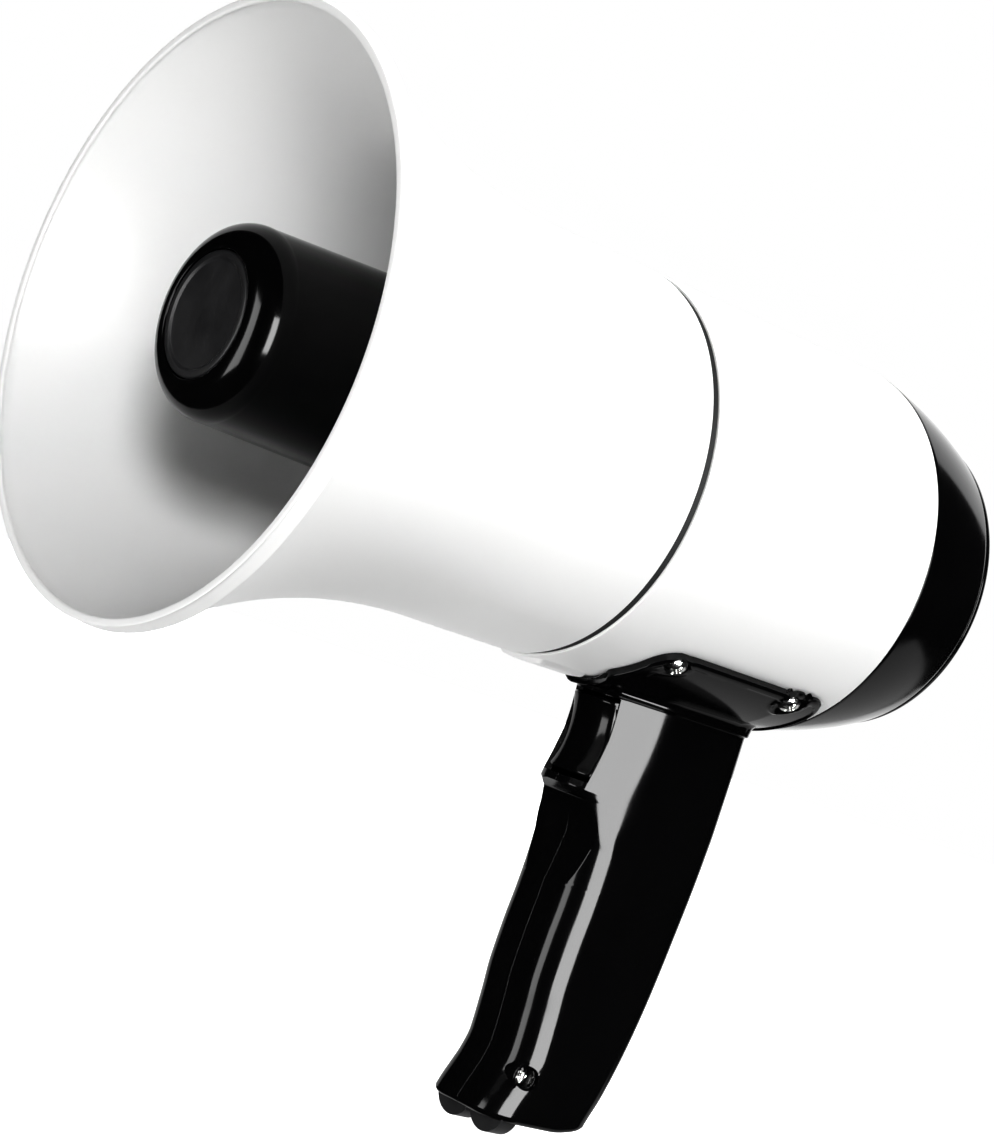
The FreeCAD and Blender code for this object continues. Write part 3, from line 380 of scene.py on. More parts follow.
for vertex in body_shell.data.vertices:         # the locating pad below, in front of the saddle
    x, y, z = (c / MM for c in vertex.co)
    reach = math.hypot(x, z)
    on_outside = reach > NECK - 0.2
    if z < 0 and on_outside and PAD_START - 2 < y < PAD_END + 2:
        side_share = 1 - smoothstep(abs(x), PAD_HALF - PAD_EASE, PAD_HALF + 0.2)
        end_share = (smoothstep(y, PAD_START, PAD_START + PAD_EASE)
                     * (1 - smoothstep(y, PAD_END - PAD_EASE, PAD_END)))
        grow = 1 + PAD_RISE * side_share * end_share / reach
        vertex.co = (x * grow * MM, y * MM, z * grow * MM)

CAP_END = 241.9
dome = arc((BODY_END + 0.35, 51.75), (222.0, 48.5), (237.9, 43.05), 28)
cap_outline = (
    dome
    + [(238.05, 42.75), (238.15, 42.45), (238.3, 42.3), (238.5, 42.3), (238.65, 42.45), (238.75, 42.62),
       (238.9, 42.7)]
    + arc((238.9, 42.7), (240.9, 41.75), (CAP_END, 40.1), 8)
    + [(CAP_END, 39.2), (241.6, 38.75), (241.1, 38.6), (230.0, 38.6), (230.0, 32.8), (227.6, 32.8),
       (227.6, 44.5)]
    + arc((227.6, 44.5), (218.0, 47.1), (BODY_END + 0.15, 49.3), 12) + [(BODY_END + 0.15, 51.5)])
lathe("rear_cap_visual", cap_outline, "black_gloss", ("rear_cap",), 256)

# ---------------------------------------------------------------- screws


def pan_screw(name, at, outward, length, head=3.0, shank=1.5):
    """A cross-head pan screw, its crown and its cross recess modelled in one polar grid."""
    rings, spokes, height = 30, 96, 2.0
    arm_wide, arm_long, sink = head * 0.125, head * 0.60, height * 0.62
    flare = 0.12 * head                 # how much wider each arm of the cross is at the middle

    def inside(u, v):
        """How deep in the cross a place is, from 0 to 1."""
        def edge(value, limit, soft):
            return min(1.0, max(0.0, (limit - abs(value)) / soft + 0.5))

        def arm(across, along):
            limit = arm_wide + flare * (1 - min(1, abs(along) / arm_long))
            return edge(across, limit, 0.10) * edge(along, arm_long, 0.3)

        return max(arm(u, v), arm(v, u))

    vertices = [(0.0, 0.0, height - sink * inside(0, 0))]
    for ring in range(1, rings + 1):
        share = ring / rings
        level = height * (1 - share ** 3.4 * 0.62)
        for spoke in range(spokes):
            turn = 2 * math.pi * spoke / spokes
            u, v = share * head * math.cos(turn), share * head * math.sin(turn)
            depth = sink * inside(u, v) * (1 - 0.35 * share)
            vertices.append((u, v, level - depth))
    lower_loops = ((head, height * 0.18), (head * 0.985, 0.0), (shank, 0.0), (shank, -length),
                   (0.05, -length - 1))
    for radius, level in lower_loops:
        for spoke in range(spokes):
            turn = 2 * math.pi * spoke / spokes
            vertices.append((radius * math.cos(turn), radius * math.sin(turn), level))
    faces = [(0, 1 + s, 1 + (s + 1) % spokes) for s in range(spokes)]
    loops = rings + len(lower_loops)
    for ring in range(loops - 1):
        for s in range(spokes):
            a, b = 1 + ring * spokes + s, 1 + ring * spokes + (s + 1) % spokes
            faces.append((a, a + spokes, b + spokes, b))
    last = 1 + (loops - 1) * spokes
    faces.append(tuple(last + s for s in range(spokes - 1, -1, -1)))
    turn = Vector((0, 0, 1)).rotation_difference(Vector(outward).normalized()).to_matrix()
    spots = [tuple(Vector(at) + turn @ Vector(vertex)) for vertex in vertices]
    return make_object(name, spots, faces, "screw_steel")


# ---------------------------------------------------------------- grip

# height, front and rear of the grip's section
STATIONS = np.array([
    (-50.0, 158.0, 203.0), (-54.4, 157.9, 203.0), (-60.0, 157.85, 203.1), (-66.0, 157.4, 203.2),
    (-73.0, 156.3, 203.2), (-80.5, 155.2, 203.2), (-88.0, 157.6, 202.95), (-95.0, 159.9, 202.6),
    (-102.0, 160.0, 202.1), (-110.0, 159.8, 201.4), (-120.0, 159.2, 200.5), (-130.0, 159.0, 199.4),
    (-140.0, 159.7, 197.9), (-150.0, 160.1, 195.9), (-155.5, 159.0, 194.5), (-159.5, 157.5, 193.4),
    (-164.0, 155.7, 192.1), (-168.5, 154.3, 190.8)])
HALF_WIDE, SIDE_BULGE = 15.5, 0.25
FRONT_CORNER, REAR_CORNER = 9.0, 8.0
# beside the trigger the front corner turns on a tight arc and then an easy one, from one height to the next
TOP_TIGHT, TOP_EASY = 10.55, 21.0
TOP_START, TOP_FULL = -94.0, -80.0
CORNER_BREAK = math.radians(51.0)       # where the tight arc ends
TIP_Y, TIP_Z = 155.2, -80.2             # the tip of the nose below the trigger
LEAN_Z = (-82.6, -80.2, -73.0, -66.0, -60.0, -50.0)
LEAN = (0.0, 2.3, 1.9, 1.8, 2.3, 3.2)   # how far the front leans out at those heights
LEAN_FULL, LEAN_NONE = math.radians(36), math.radians(60)       # it fades between these corner angles
FOOT, FOOT_ROUND = -168.5, 1.9
HEEL_LIFT = 2.2                         # how far the foot's edge turns up at the heel
RECESS_Y, RECESS_Z, RECESS_RADIUS = 163.4, -156.0, 3.2          # where the handle screw sits
RECESS_SNAP = 0.46                      # grid points this near the recess's rim move onto it
SIDE_FROM = 4.0                         # the recess cuts only the wall beyond this x


def smooth_curve(heights, values, at):
    """A monotone cubic through the stations, so that no bulge appears between them."""
    order = np.argsort(heights)
    x, y = np.asarray(heights)[order], np.asarray(values)[order]
    h, slope = np.diff(x), np.diff(y) / np.diff(x)
    m = np.zeros(len(x))
    m[0], m[-1] = slope[0], slope[-1]
    for i in range(1, len(x) - 1):
        if slope[i - 1] * slope[i] > 0:
            w1, w2 = 2 * h[i] + h[i - 1], h[i] + 2 * h[i - 1]
            m[i] = (w1 + w2) / (w1 / slope[i - 1] + w2 / slope[i])
    i = int(np.clip(np.searchsorted(x, at) - 1, 0, len(x) - 2))
    t = (at - x[i]) / h[i]
    return ((1 + 2 * t) * (1 - t) ** 2 * y[i] + t * (1 - t) ** 2 * h[i] * m[i]
            + t * t * (3 - 2 * t) * y[i + 1] + t * t * (t - 1) * h[i] * m[i + 1])


scoop = (arc((TIP_Z, TIP_Y), (-85.8, 160.1), (-92.3, 161.9), 16)
         + arc((-92.3, 161.9), (-99.0, 161.1), (-105.2, 160.1), 12)[1:])
SCOOP_Z = [point[0] for point in scoop]
SCOOP_Y = [point[1] for point in scoop]


def grip_front_cut(z):
    """How far back the scoop below the nose cuts the front, or None outside the scoop."""
    if z > TIP_Z or z < SCOOP_Z[-1]:
        return None
    return smooth_curve(SCOOP_Z, SCOOP_Y, z)


# the columns beside the seam between the halves, and how deep each lies in it
SEAM_X = (0.02, 0.05, 0.10, 0.22)
SEAM_SINK = (0.07, 0.02, 0.0, 0.0)
# how many columns each stretch of a section has, from the front middle to the rear middle
COLUMNS = {"front": 26, "front_corner": 34, "side": 44, "rear_corner": 26, "rear": 16}


def corner_point(angle, wide, front, tight, easy):
    """A point on the grip's front corner, which turns on a tight arc and then on an easier one."""
    first, second = min(angle, CORNER_BREAK), max(angle, CORNER_BREAK)
    x = wide - easy * (1 - math.sin(second)) - tight * (math.sin(CORNER_BREAK) - math.sin(first))
    y = front + tight * (1 - math.cos(first)) + easy * (math.cos(CORNER_BREAK) - math.cos(second))
    return x, y


def corner_angle(depth, tight, easy):
    """Where a cut at a depth behind the front meets the corner."""
    knee = tight * (1 - math.cos(CORNER_BREAK))
    if depth <= knee:
        return math.acos(1 - depth / tight)
    return math.acos(max(0.0, math.cos(CORNER_BREAK) - (depth - knee) / easy))


def offset_row(row, inward, z):
    """Moves a section's loop inwards along its own normals."""
    points = np.array(row)[:, :2]
    tangents = np.gradient(points, axis=0)
    seam = len(SEAM_X)
    tangents[:seam] = (1, 0)
    tangents[-seam:] = (-1, 0)
    tangents /= np.linalg.norm(tangents, axis=1)[:, None]
    moved = points + inward * np.stack([-tangents[:, 1], tangents[:, 0]], axis=1)
    moved[:, 0] = np.maximum(moved[:, 0], points[:, 0].min())
    moved[:seam, 0], moved[-seam:, 0] = points[:seam, 0], points[-seam:, 0]
    return [(x, y, z) for x, y in moved]


def grip_row(z, swell=0.0):
    """One loop of the left half of the grip at a height, from the front seam to the rear seam."""
    front = smooth_curve(STATIONS[:, 0], STATIONS[:, 1], z) - swell
    top = smoothstep(z, TOP_START, TOP_FULL)
    tight = FRONT_CORNER + (TOP_TIGHT - FRONT_CORNER) * top
    easy = FRONT_CORNER + (TOP_EASY - FRONT_CORNER) * top
    rear = smooth_curve(STATIONS[:, 0], STATIONS[:, 2], z)
    wide, far = HALF_WIDE + swell, REAR_CORNER
    level, start_angle = front, 0.0
    cut = grip_front_cut(z)
    if cut is not None and cut > front:
        level = cut
        start_angle = corner_angle(cut - front, tight, easy)

    def lean(angle):
        return float(np.interp(z, LEAN_Z, LEAN)) * (1 - smoothstep(angle, LEAN_FULL, LEAN_NONE))

    level -= lean(start_angle)
    row = [(x, level + sink) for x, sink in zip(SEAM_X, SEAM_SINK)]
    flat_end = corner_point(start_angle, wide, front, tight, easy)[0]
    for i in range(1, COLUMNS["front"] + 1):
        row.append((SEAM_X[-1] + (flat_end - SEAM_X[-1]) * i / COLUMNS["front"], level))
    for i in range(1, COLUMNS["front_corner"] + 1):
        angle = start_angle + (math.pi / 2 - start_angle) * i / COLUMNS["front_corner"]
        x, y = corner_point(angle, wide, front, tight, easy)
        row.append((x, y - lean(angle)))
    side_start = row[-1][1]
    for i in range(1, COLUMNS["side"] + 1):
        share = i / COLUMNS["side"]
        bulge = SIDE_BULGE * math.sin(math.pi * share)
        row.append((wide + bulge, side_start + (rear - far - side_start) * share))
    for i in range(1, COLUMNS["rear_corner"] + 1):
        angle = math.pi / 2 * i / COLUMNS["rear_corner"]
        row.append((wide - far + far * math.cos(angle), rear - far + far * math.sin(angle)))
    for i in range(1, COLUMNS["rear"]):
        row.append((wide - far + (SEAM_X[-1] - wide + far) * i / COLUMNS["rear"], rear))
    for x, sink in zip(SEAM_X[::-1], SEAM_SINK[::-1]):
        row.append((x, rear - sink))
    return [(x, y, z) for x, y in row]


# ---------------------------------------------------------------- saddle flange

SADDLE_FRONT, SADDLE_NOTCH, SADDLE_REAR, SADDLE_WIDE = 141.6, 147.0, 205.3, 36.2
SADDLE_FAR_FRONT = 145.9                # the far wing stops short of the near one
SADDLE_CORNER, SADDLE_WING = 7.0, 20.0
FLANGE_FRONT_RADIUS, FLANGE_REAR_RADIUS, FLANGE_MIDDLE_RADIUS = 54.5, 52.75, 54.0
FLANGE_TAPER = 12.5                     # the flange thins over this length at its rear edge
FLANGE_FOOT = 52.2                      # radius at which its edge meets the body
FLANGE_STEPS, FILLET = 64, 1.6
SEAT_ANGLE = math.radians(38.0)
# the screw seats: y, radius, depth, height of the ring round the seat, how deep the screw's head starts
SEATS = ((150.5, 3.9, 0.7, 0.25, 0.9), (193.1, 4.6, 1.5, 0.35, 1.5))
BOSS_ANGLE, BOSS_Y, BOSS_HEIGHT = math.radians(30.0), 147.6, 0.7
# height and swell of the rows where the column meets the flange
COLLAR = ((-54.9, 0.0), (-54.55, 0.02), (-54.35, 0.12), (-54.2, 0.45), (-54.1, 0.9), (-53.95, 1.15),
          (-53.6, 1.28), (-53.1, 1.3))


def saddle_outline(front):
    """One half of the flange's outline in plan, from the front middle to the rear middle."""
    wide, rear, corner, shoulder = SADDLE_WIDE, SADDLE_REAR, SADDLE_CORNER, front + 2.0
    bulge = corner * (1 - math.sqrt(0.5))
    notch = arc((-SADDLE_WING, front), (0, SADDLE_NOTCH), (SADDLE_WING, front), 60)
    path = [(x, y) for x, y in notch if x >= 0.0] + [(wide - corner, shoulder)]
    path += arc((wide - corner, shoulder), (wide - bulge, shoulder + bulge), (wide, shoulder + corner), 14)[1:]
    path += arc((wide, rear - corner), (wide - bulge, rear - bulge), (wide - corner, rear), 14)
    path += [(0.0, rear)]
    return np.array(path)


def path_lengths(path):
    """The distance along a path to each of its points."""
    return np.concatenate([[0], np.cumsum(np.linalg.norm(np.diff(path, axis=0), axis=1))])


def flange_target(plan, front):
    """Where each column of the collar ends on the flange's outline, with corners led to corners."""
    outline = saddle_outline(front)
    lengths, edge_lengths = path_lengths(plan), path_lengths(outline)
    shares = lengths / lengths[-1]
    corner_start = len(SEAM_X) + COLUMNS["front"]
    side_end = corner_start + COLUMNS["front_corner"] + COLUMNS["side"]
    corner_share = [0.0, shares[corner_start + COLUMNS["front_corner"] // 2],
                    shares[side_end + COLUMNS["rear_corner"] // 2], 1.0]
    edge_share = [0.0]
    for y in (front + 4, SADDLE_REAR - 2):
        corner = int(np.argmin(np.linalg.norm(outline - (SADDLE_WIDE - 2, y), axis=1)))
        edge_share.append(edge_lengths[corner] / edge_lengths[-1])
    spots = np.interp(shares, corner_share, edge_share + [1.0]) * edge_lengths[-1]
    target = np.stack([np.interp(spots, edge_lengths, outline[:, k]) for k in range(2)], axis=1)
    target[:, 0] = np.maximum(target[:, 0], plan[:, 0].min())
    for k, x in enumerate(SEAM_X):
        target[k, 0] = target[-1 - k, 0] = x
    return target


def flange_radius(y):
    thin = min(1.0, max(0.0, (y - (SADDLE_REAR - FLANGE_TAPER)) / FLANGE_TAPER))
    return FLANGE_FRONT_RADIUS + (FLANGE_REAR_RADIUS - FLANGE_FRONT_RADIUS) * thin


def flange_height(x, y, edge_gap):
    """The flange's outer radius at a place in plan: raised border, screw seats and a small boss."""
    radius = flange_radius(y)
    radius -= 0.45 * smoothstep(edge_gap, 1.5, 2.3)
    angle = math.asin(min(0.95, x / FLANGE_MIDDLE_RADIUS))
    for seat_y, rim, deep, ring, _ in SEATS:
        gap = math.hypot((angle - SEAT_ANGLE) * FLANGE_MIDDLE_RADIUS, (y - seat_y))
        radius += ring * (1 - smoothstep(gap, rim + 0.3, rim + 1.6))
        radius -= deep * (1 - smoothstep(gap, rim - 0.8, rim + 0.3))
    gap = math.hypot((angle - BOSS_ANGLE) * FLANGE_MIDDLE_RADIUS, y - BOSS_Y)
    return radius + BOSS_HEIGHT * (1 - smoothstep(gap, 0.7, 1.7))


def flange_row(plan, target, share, side):
    """One loop of the flange, at a share of the way from the collar to the flange's edge."""
    collar_z = COLLAR[-1][0]
    row = []
    for (cx, cy), (tx, ty) in zip(plan, target):
        x, y = cx + (tx - cx) * share, cy + (ty - cy) * share
        edge_gap = math.hypot(tx - x, ty - y)
        from_grip = math.hypot(cx - x, cy - y)
        radius = flange_height(x, y, edge_gap)
        if side < 0:            # the far wing hugs the body in front of the grip
            radius -= (1.9 * smoothstep(x, 0.5, 5.0) * (1 - smoothstep(x, 16.0, 27.0))
                       * (1 - smoothstep(y, 148.0, 157.0)))
        radius -= 0.5 * (1 - smoothstep(edge_gap, 0.0, 0.6)) ** 2       # the rolled edge
        level = -math.sqrt(max(1.0, radius ** 2 - x ** 2))
        if from_grip < FILLET:
            blend = 1 - math.sqrt(max(0.0, 1 - (1 - from_grip / FILLET) ** 2))
            level += (collar_z - level) * blend * (1 if collar_z < level else 0.15)
        row.append((x, y, level))
    return row


# ---------------------------------------------------------------- handle halves

WALL = 2.0
SHARP_ANGLE = math.radians(38)
# the opening for the trigger: half its width, its bottom and top, and how far back it reaches
WINDOW_HALF, WINDOW_BOTTOM, WINDOW_TOP, WINDOW_REAR = 9.4, -78.2, -54.9, 166


def heel_lift(y, z):
    """The foot's bottom edge turns up towards the heel."""
    return HEEL_LIFT * smoothstep(y, 177.0, 192.0) * smoothstep(-z, 156.0, -FOOT)


def half_grip(name, side):
    """One half shell of the handle: the column, its collar and the saddle flange, as one smooth sheet."""
    plan = np.array(grip_row(*COLLAR[-1]))[:, :2]
    count = len(plan)
    target = flange_target(plan, SADDLE_FRONT if side > 0 else SADDLE_FAR_FRONT)
    rows = [flange_row(plan, target, step / FLANGE_STEPS, side) for step in range(FLANGE_STEPS, -1, -1)]
    # the flange's edge, down to the body
    skirt = []
    for x, y, z in rows[0]:
        reach = math.hypot(x, z)
        skirt.append((x * FLANGE_FOOT / reach, y, z * FLANGE_FOOT / reach))
    rows.insert(0, skirt)
    rows += [grip_row(*ring) for ring in COLLAR[::-1]]
    # the column, with closer rows at the trigger and the nose
    edge_start = FOOT + FOOT_ROUND
    for start, end, steps in ((-55.3, -80.0, 56), (-80.25, -92.0, 44), (-92.4, -162.0, 120),
                              (-162.4, edge_start, 16)):
        rows += [grip_row(z) for z in np.linspace(start, end, steps)]
    # the foot: a rounded bottom edge, then the rim's underside
    base = grip_row(edge_start)
    for angle in np.linspace(0.0, math.pi / 2, 12)[1:]:
        inward, drop = FOOT_ROUND * (1 - math.cos(angle)), FOOT_ROUND * math.sin(angle)
        rows.append(offset_row(base, inward, edge_start - drop))
    rows += [offset_row(base, FOOT_ROUND + inset, FOOT) for inset in (0.5, 1.0, 1.5)]

    vertices = [(side * x, y, z + heel_lift(y, z)) for row in rows for x, y, z in row]
    if side > 0:            # the mesh follows the rim of the screw's recess
        for index, (x, y, z) in enumerate(vertices):
            reach = math.hypot(y - RECESS_Y, z - RECESS_Z)
            if x > SIDE_FROM and abs(reach - RECESS_RADIUS) < RECESS_SNAP:
                grow = RECESS_RADIUS / reach
                vertices[index] = (x, RECESS_Y + (y - RECESS_Y) * grow, RECESS_Z + (z - RECESS_Z) * grow)
    faces = []
    for r in range(len(rows) - 1):
        for c in range(count - 1):
            x, y, z = np.mean([rows[r][c], rows[r][c + 1], rows[r + 1][c], rows[r + 1][c + 1]], axis=0)
            in_window = x < WINDOW_HALF and WINDOW_BOTTOM < z < WINDOW_TOP and y < WINDOW_REAR
            in_recess = x > SIDE_FROM and math.hypot(y - RECESS_Y, z - RECESS_Z) < RECESS_RADIUS
            if in_window or (side > 0 and in_recess):
                continue
            a, b = r * count + c, r * count + c + 1
            quad = (a, b, b + count, a + count)
            faces.append(quad[::-1] if side > 0 else quad)
    mesh = bpy.data.meshes.new(name)
    mesh.from_pydata([tuple(c * MM for c in vertex) for vertex in vertices], [], faces)
    return mesh


def settle(piece):
    """Applies a piece's modifiers to its mesh."""
    evaluated = piece.evaluated_get(bpy.context.evaluated_depsgraph_get())
    mesh = bpy.data.meshes.new_from_object(evaluated)
    piece.modifiers.clear()
    piece.data = mesh


def finish_half(name, side, stands_for):
    """Makes a half shell from its sheet, with a wall."""
    mesh = half_grip(name, side)
    work = bmesh.new()
    work.from_mesh(mesh)
    bmesh.ops.delete(work, geom=[v for v in work.verts if not v.link_faces], context="VERTS")
    work.to_mesh(mesh)
    work.free()
    mesh.polygons.foreach_set("use_smooth", [True] * len(mesh.polygons))
    piece = bpy.data.objects.new(name, mesh)
    bpy.context.scene.collection.objects.link(piece)
    mesh.materials.append(MATERIALS["black_gloss"])
    solid = piece.modifiers.new("wall", "SOLIDIFY")
    solid.thickness = WALL * MM
    solid.offset = -1
    settle(piece)
    piece.data.set_sharp_from_angle(angle=SHARP_ANGLE)
    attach(piece, "housing")
    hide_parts(*stands_for)
    weighted(piece)


finish_half("handle_left_shell_visual", 1, ("handle_left_shell",))
finish_half("handle_right_shell_visual", -1, ("handle_right_shell",))

# ---------------------------------------------------------------- saddle screws

screw_pieces = []
for angle in (-SEAT_ANGLE, SEAT_ANGLE):
    for y, _, _, _, sunk in SEATS:
        out = Vector((math.sin(angle), 0, -math.cos(angle)))
        base = flange_radius(y) - sunk
        screw_pieces.append(pan_screw("saddle_screw_visual", out * base + Vector((0, y, 0)), out, 4.0))
saddle_screws = merged("saddle_screws_visual", screw_pieces)
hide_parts("saddle_screws")

# ---------------------------------------------------------------- trigger, door, pin and handle screw


def trigger_pad():
    """The trigger: a pad whose front carries on the grip's rounded front, with rolled edges."""
    half, top, bottom, back, roll = 9.0, -55.75, -77.2, 158.6, 1.1
    face = arc((154.9, -56.2), (156.8, -66.0), (154.5, -76.2), 40)
    heights = [point[1] for point in face][::-1]
    levels = [point[0] for point in face][::-1]
    flat_half = corner_point(0.0, HALF_WIDE, 0.0, TOP_TIGHT, TOP_EASY)[0]
    across_count, down_count = 44, 52
    grid = []
    for j in range(down_count + 1):
        z = bottom + (top - bottom) * j / down_count
        row = []
        for i in range(across_count + 1):
            x = -half + 2 * half * i / across_count
            y = float(np.interp(z, heights, levels))
            y += TOP_TIGHT - math.sqrt(TOP_TIGHT ** 2 - max(0.0, abs(x) - flat_half) ** 2)
            edge = min(half - abs(x), z - bottom, top - z)
            y += roll - math.sqrt(max(0.0, roll ** 2 - max(0.0, roll - edge) ** 2))
            row.append((x, y, z))
        grid.append(row)
    wide = across_count + 1
    vertices = [vertex for row in grid for vertex in row]
    faces = [(j * wide + i, j * wide + i + 1, (j + 1) * wide + i + 1, (j + 1) * wide + i)
             for j in range(down_count) for i in range(across_count)]
    rim = ([(0, i) for i in range(wide)] + [(j, wide - 1) for j in range(1, down_count + 1)]
           + [(down_count, i) for i in range(wide - 2, -1, -1)] + [(j, 0) for j in range(down_count - 1, 0, -1)])
    start = len(vertices)
    for j, i in rim:
        x, _, z = grid[j][i]
        vertices.append((x, back, z))
    for k, (j, i) in enumerate(rim):
        n = (k + 1) % len(rim)
        next_j, next_i = rim[n]
        faces.append((j * wide + i, next_j * wide + next_i, start + n, start + k))
    faces.append(tuple(range(start, start + len(rim))))
    return make_object("trigger_visual", vertices, faces, "black_gloss", "trigger", ("trigger",))


def rectangle(half, low, high):
    return [(-half, low), (half, low), (half, high), (-half, high)]


def pin_outline(half, radius):
    return rounded([(-half, 0.0, 0), (-half, radius), (half, radius), (half, 0.0, 0)], 0.3, 3)


def foot_door():
    """The battery door in the foot, with its two-lobed pull tab."""
    look = ("black_satin", "battery_door")
    plate = extruded("door_plate", rounded(rectangle(12.2, 159.6, 182.0), 3.0, 6), "z", -168.4, -166.3, *look)
    ribs = [extruded("door_rib", rounded(rectangle(9.0, y, y + 1.1), 0.5, 4), "z", -168.85, -168.0, *look)
            for y in (169.0, 171.6, 174.2, 176.8)]
    knuckle = turned_about_x("door_knuckle", pin_outline(10.8, 2.2), 186.6, -165.2, *look)
    neck = extruded("door_neck", [(180.6, -168.4), (186.6, -167.4), (186.6, -165.2), (180.6, -166.3)], "x",
                    -10.8, 10.8, *look)
    lobes = []
    for side in (-1, 1):
        outline = arc((side * 14.0, -168.2), (side * 8.6, -172.8), (side * 0.8, -169.6), 24)
        outline += [(side * 0.8, -166.4), (side * 14.0, -166.4)]
        lobes.append(extruded("door_lobe", outline[::side], "y", 159.9, 165.2, *look))
    bridge = extruded("door_bridge", rounded(rectangle(11.0, -170.0, -166.4), 0.6, 3), "y", 160.3, 164.9, *look)
    door = merged("battery_door_visual", [plate, knuckle, neck, bridge] + ribs + lobes)
    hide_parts("battery_door")
    bevelled(door, 0.55)


weighted(trigger_pad())
foot_door()
trigger_pin = turned_about_x("trigger_pin_visual", pin_outline(8.6, 1.25), 161.2, -58.5, "spring_steel", "housing")
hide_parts("trigger_pin")
cup = rounded([(9.0, 0.0, 0), (9.0, 4.0), (13.6, 4.0), (13.6, 3.2), (9.8, 3.2), (9.8, 0.0, 0)], 0.1, 2)
turned_about_x("handle_recess", cup, RECESS_Y, RECESS_Z, "black_gloss", "housing")
handle_screw = pan_screw("handle_screw_visual", (9.8, RECESS_Y, RECESS_Z), (1, 0, 0), 6.0, head=2.9, shank=1.55)
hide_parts("handle_screw")

# ---------------------------------------------------------------- stage and lights, in metres

FLOOR_LEVEL = cad_bounds[0][2] - 0.0002         # just below the part
FLOOR_MIDDLE = 0.12
MIDDLE = Vector((0.0, 0.16, -0.08))             # what the soft boxes point at
SUN_POWER, SUN_SIZE, SUN_WAY = 4.8, math.radians(60), Vector((-0.62, -0.46, -0.64))


def floor_disc(name, radius, tone, glow, seen, segments=96):
    """A disc of the floor, either seen by the camera or throwing light up on the part."""
    material, tree, shader = new_material(name)
    shader.inputs["Roughness"].default_value = 0.85
    shader.inputs["Specular IOR Level"].default_value = 0.1
    shader.inputs["Emission Color"].default_value = (1, 1, 1, 1)
    shader.inputs["Emission Strength"].default_value = glow
    tree.links.new(two_tone(tree, noise(tree, 6, 3), (tone - 0.02,) * 3, (tone,) * 3), shader.inputs["Base Color"])
    turns = [2 * math.pi * i / segments for i in range(segments)]
    vertices = [(radius * math.cos(turn), radius * math.sin(turn) + FLOOR_MIDDLE, FLOOR_LEVEL) for turn in turns]
    mesh = bpy.data.meshes.new(name)
    mesh.from_pydata(vertices, [], [tuple(range(segments))])
    mesh.materials.append(material)
    disc = bpy.data.objects.new(name, mesh)
    disc.visible_camera = seen
    disc.visible_diffuse = not seen
    disc.visible_glossy = False
    disc.visible_shadow = False
    bpy.context.scene.collection.objects.link(disc)


floor_disc("floor_bounce", 0.26, 0.46, 0.10, False)
floor_disc("floor_seen", 9.0, 0.90, 1.0, True)

world = bpy.data.worlds.new("studio")
bpy.context.scene.world = world
world.use_nodes = True
background = world.node_tree.nodes["Background"]
background.inputs["Color"].default_value = (1, 1, 1, 1)
background.inputs["Strength"].default_value = 1.0
world.cycles_visibility.glossy = False          # black gloss mirrors the soft boxes only
world.cycles_visibility.diffuse = False


def soft_box(name, azimuth, elevation, size, radiance, distance=1.4, glossy=True, diffuse=True):
    """A rectangular soft box seen from the middle at an azimuth (from -Y towards +X) and an elevation."""
    turn, lift = math.radians(azimuth), math.radians(elevation)
    way = Vector((math.sin(turn) * math.cos(lift), -math.cos(turn) * math.cos(lift), math.sin(lift)))
    data = bpy.data.lights.new(name, "AREA")
    data.shape = "RECTANGLE"
    data.size, data.size_y = size
    data.energy = radiance * math.pi * size[0] * size[1]
    light = bpy.data.objects.new(name, data)
    light.location = MIDDLE + way * distance
    light.rotation_euler = (MIDDLE - light.location).to_track_quat("-Z", "Y").to_euler()
    light.visible_glossy = glossy
    light.visible_diffuse = diffuse
    bpy.context.scene.collection.objects.link(light)


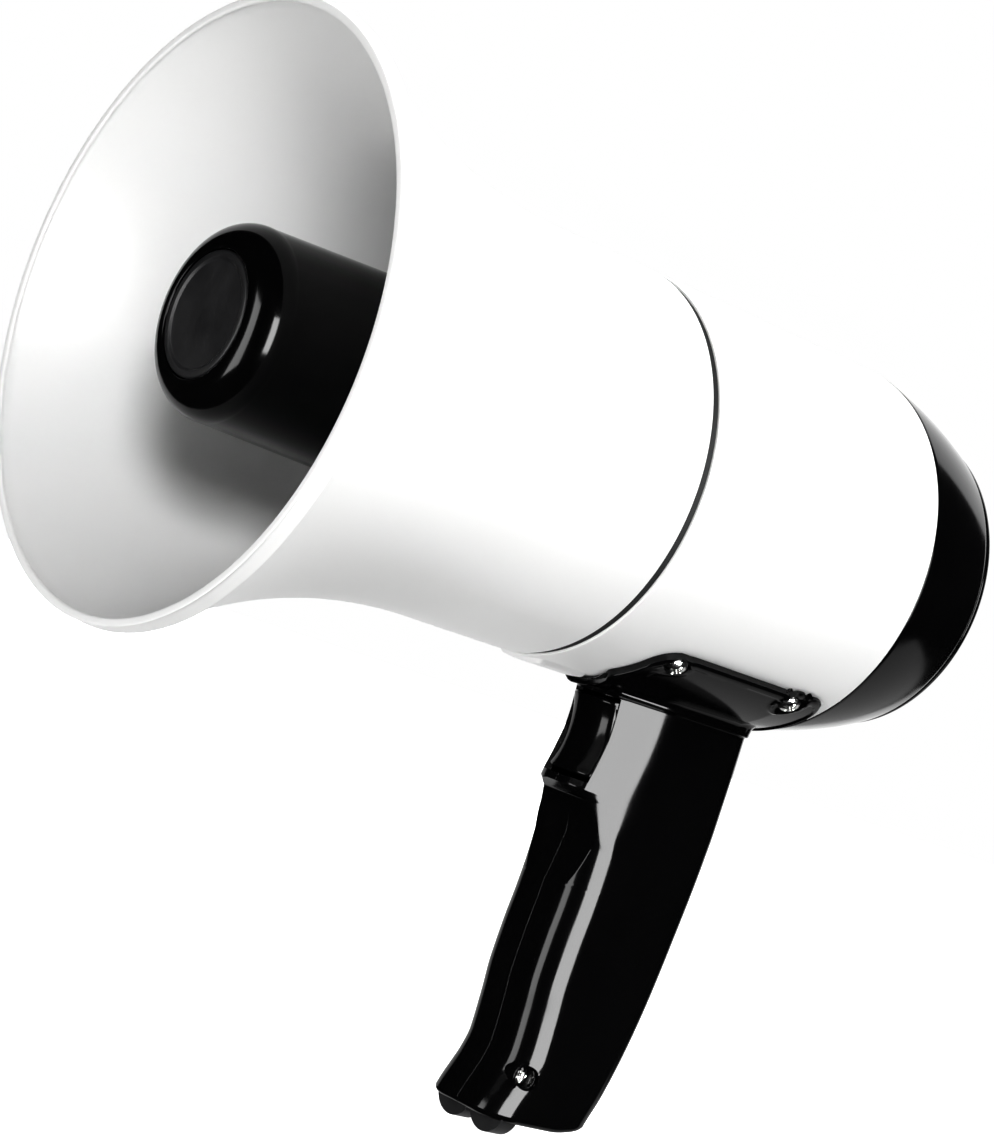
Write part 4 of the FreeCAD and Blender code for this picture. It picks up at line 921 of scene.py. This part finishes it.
soft_box("wide_strip", 78, 2, (1.22, 0.95), 26.0, diffuse=False)
soft_box("narrow_strip", -8, 0, (0.56, 0.95), 10.0, diffuse=False)
soft_box("dim_side", -100, 0, (1.0, 0.9), 0.9, diffuse=False)
soft_box("rear_card", 222, 20, (1.6, 1.96), 1.3, diffuse=False)
soft_box("rear_low", 205, -38, (2.4, 1.19), 0.7, diffuse=False)
soft_box("far_fill", 250, 25, (1.2, 1.2), 3.0, 1.8, glossy=False)
soft_box("key_high", 49, 21, (0.5, 0.5), 21.5, 1.6, glossy=False)
soft_box("key_low", -2, -26, (0.9, 0.9), 5.4, 1.6, glossy=False)
soft_box("lower_fill", 70, -12, (0.8, 0.8), 0.9, 1.6, glossy=False)
sun_data = bpy.data.lights.new("sun", "SUN")
sun_data.energy = SUN_POWER
sun_data.angle = SUN_SIZE
sun = bpy.data.objects.new("sun", sun_data)
sun.rotation_euler = SUN_WAY.to_track_quat("-Z", "Y").to_euler()
sun.visible_glossy = False
bpy.context.scene.collection.objects.link(sun)

# ---------------------------------------------------------------- camera

CAMERA_TURN, CAMERA_ROLL, CAMERA_PITCH = math.radians(51.34), math.radians(19.58), math.radians(2.0)
CAMERA_OFFSET = (0.07197, -0.06130)             # to the right and up, in metres
CAMERA_DISTANCE = 0.7279
LENS, SENSOR = 98.91323400525854, 36.0          # in millimetres
VIEW_GAMMA = 0.78

back = Vector((math.sin(CAMERA_TURN), -math.cos(CAMERA_TURN), 0))
right = Vector((math.cos(CAMERA_TURN), math.sin(CAMERA_TURN), 0))
up = Vector((0, 0, 1))
across = math.cos(CAMERA_ROLL) * right + math.sin(CAMERA_ROLL) * up
upward = -math.sin(CAMERA_ROLL) * right + math.cos(CAMERA_ROLL) * up
centre = back * CAMERA_DISTANCE + CAMERA_OFFSET[0] * across + CAMERA_OFFSET[1] * upward
tilt = Matrix(((math.cos(CAMERA_PITCH), 0, math.sin(CAMERA_PITCH)), (0, 1, 0),
               (-math.sin(CAMERA_PITCH), 0, math.cos(CAMERA_PITCH))))
across, upward, back, centre = tilt @ across, tilt @ upward, tilt @ back, tilt @ centre
camera_data = bpy.data.cameras.new("camera")
camera_data.sensor_fit = "AUTO"
camera_data.sensor_width = SENSOR
camera_data.lens = LENS
camera_data.clip_start, camera_data.clip_end = 0.01, 50.0
camera = bpy.data.objects.new("camera", camera_data)
camera.matrix_world = Matrix((
    (across.x, upward.x, back.x, centre.x), (across.y, upward.y, back.y, centre.y),
    (across.z, upward.z, back.z, centre.z), (0, 0, 0, 1)))
bpy.context.scene.collection.objects.link(camera)
bpy.context.scene.camera = camera
bpy.context.scene.view_settings.view_transform = "Standard"
bpy.context.scene.view_settings.gamma = VIEW_GAMMA
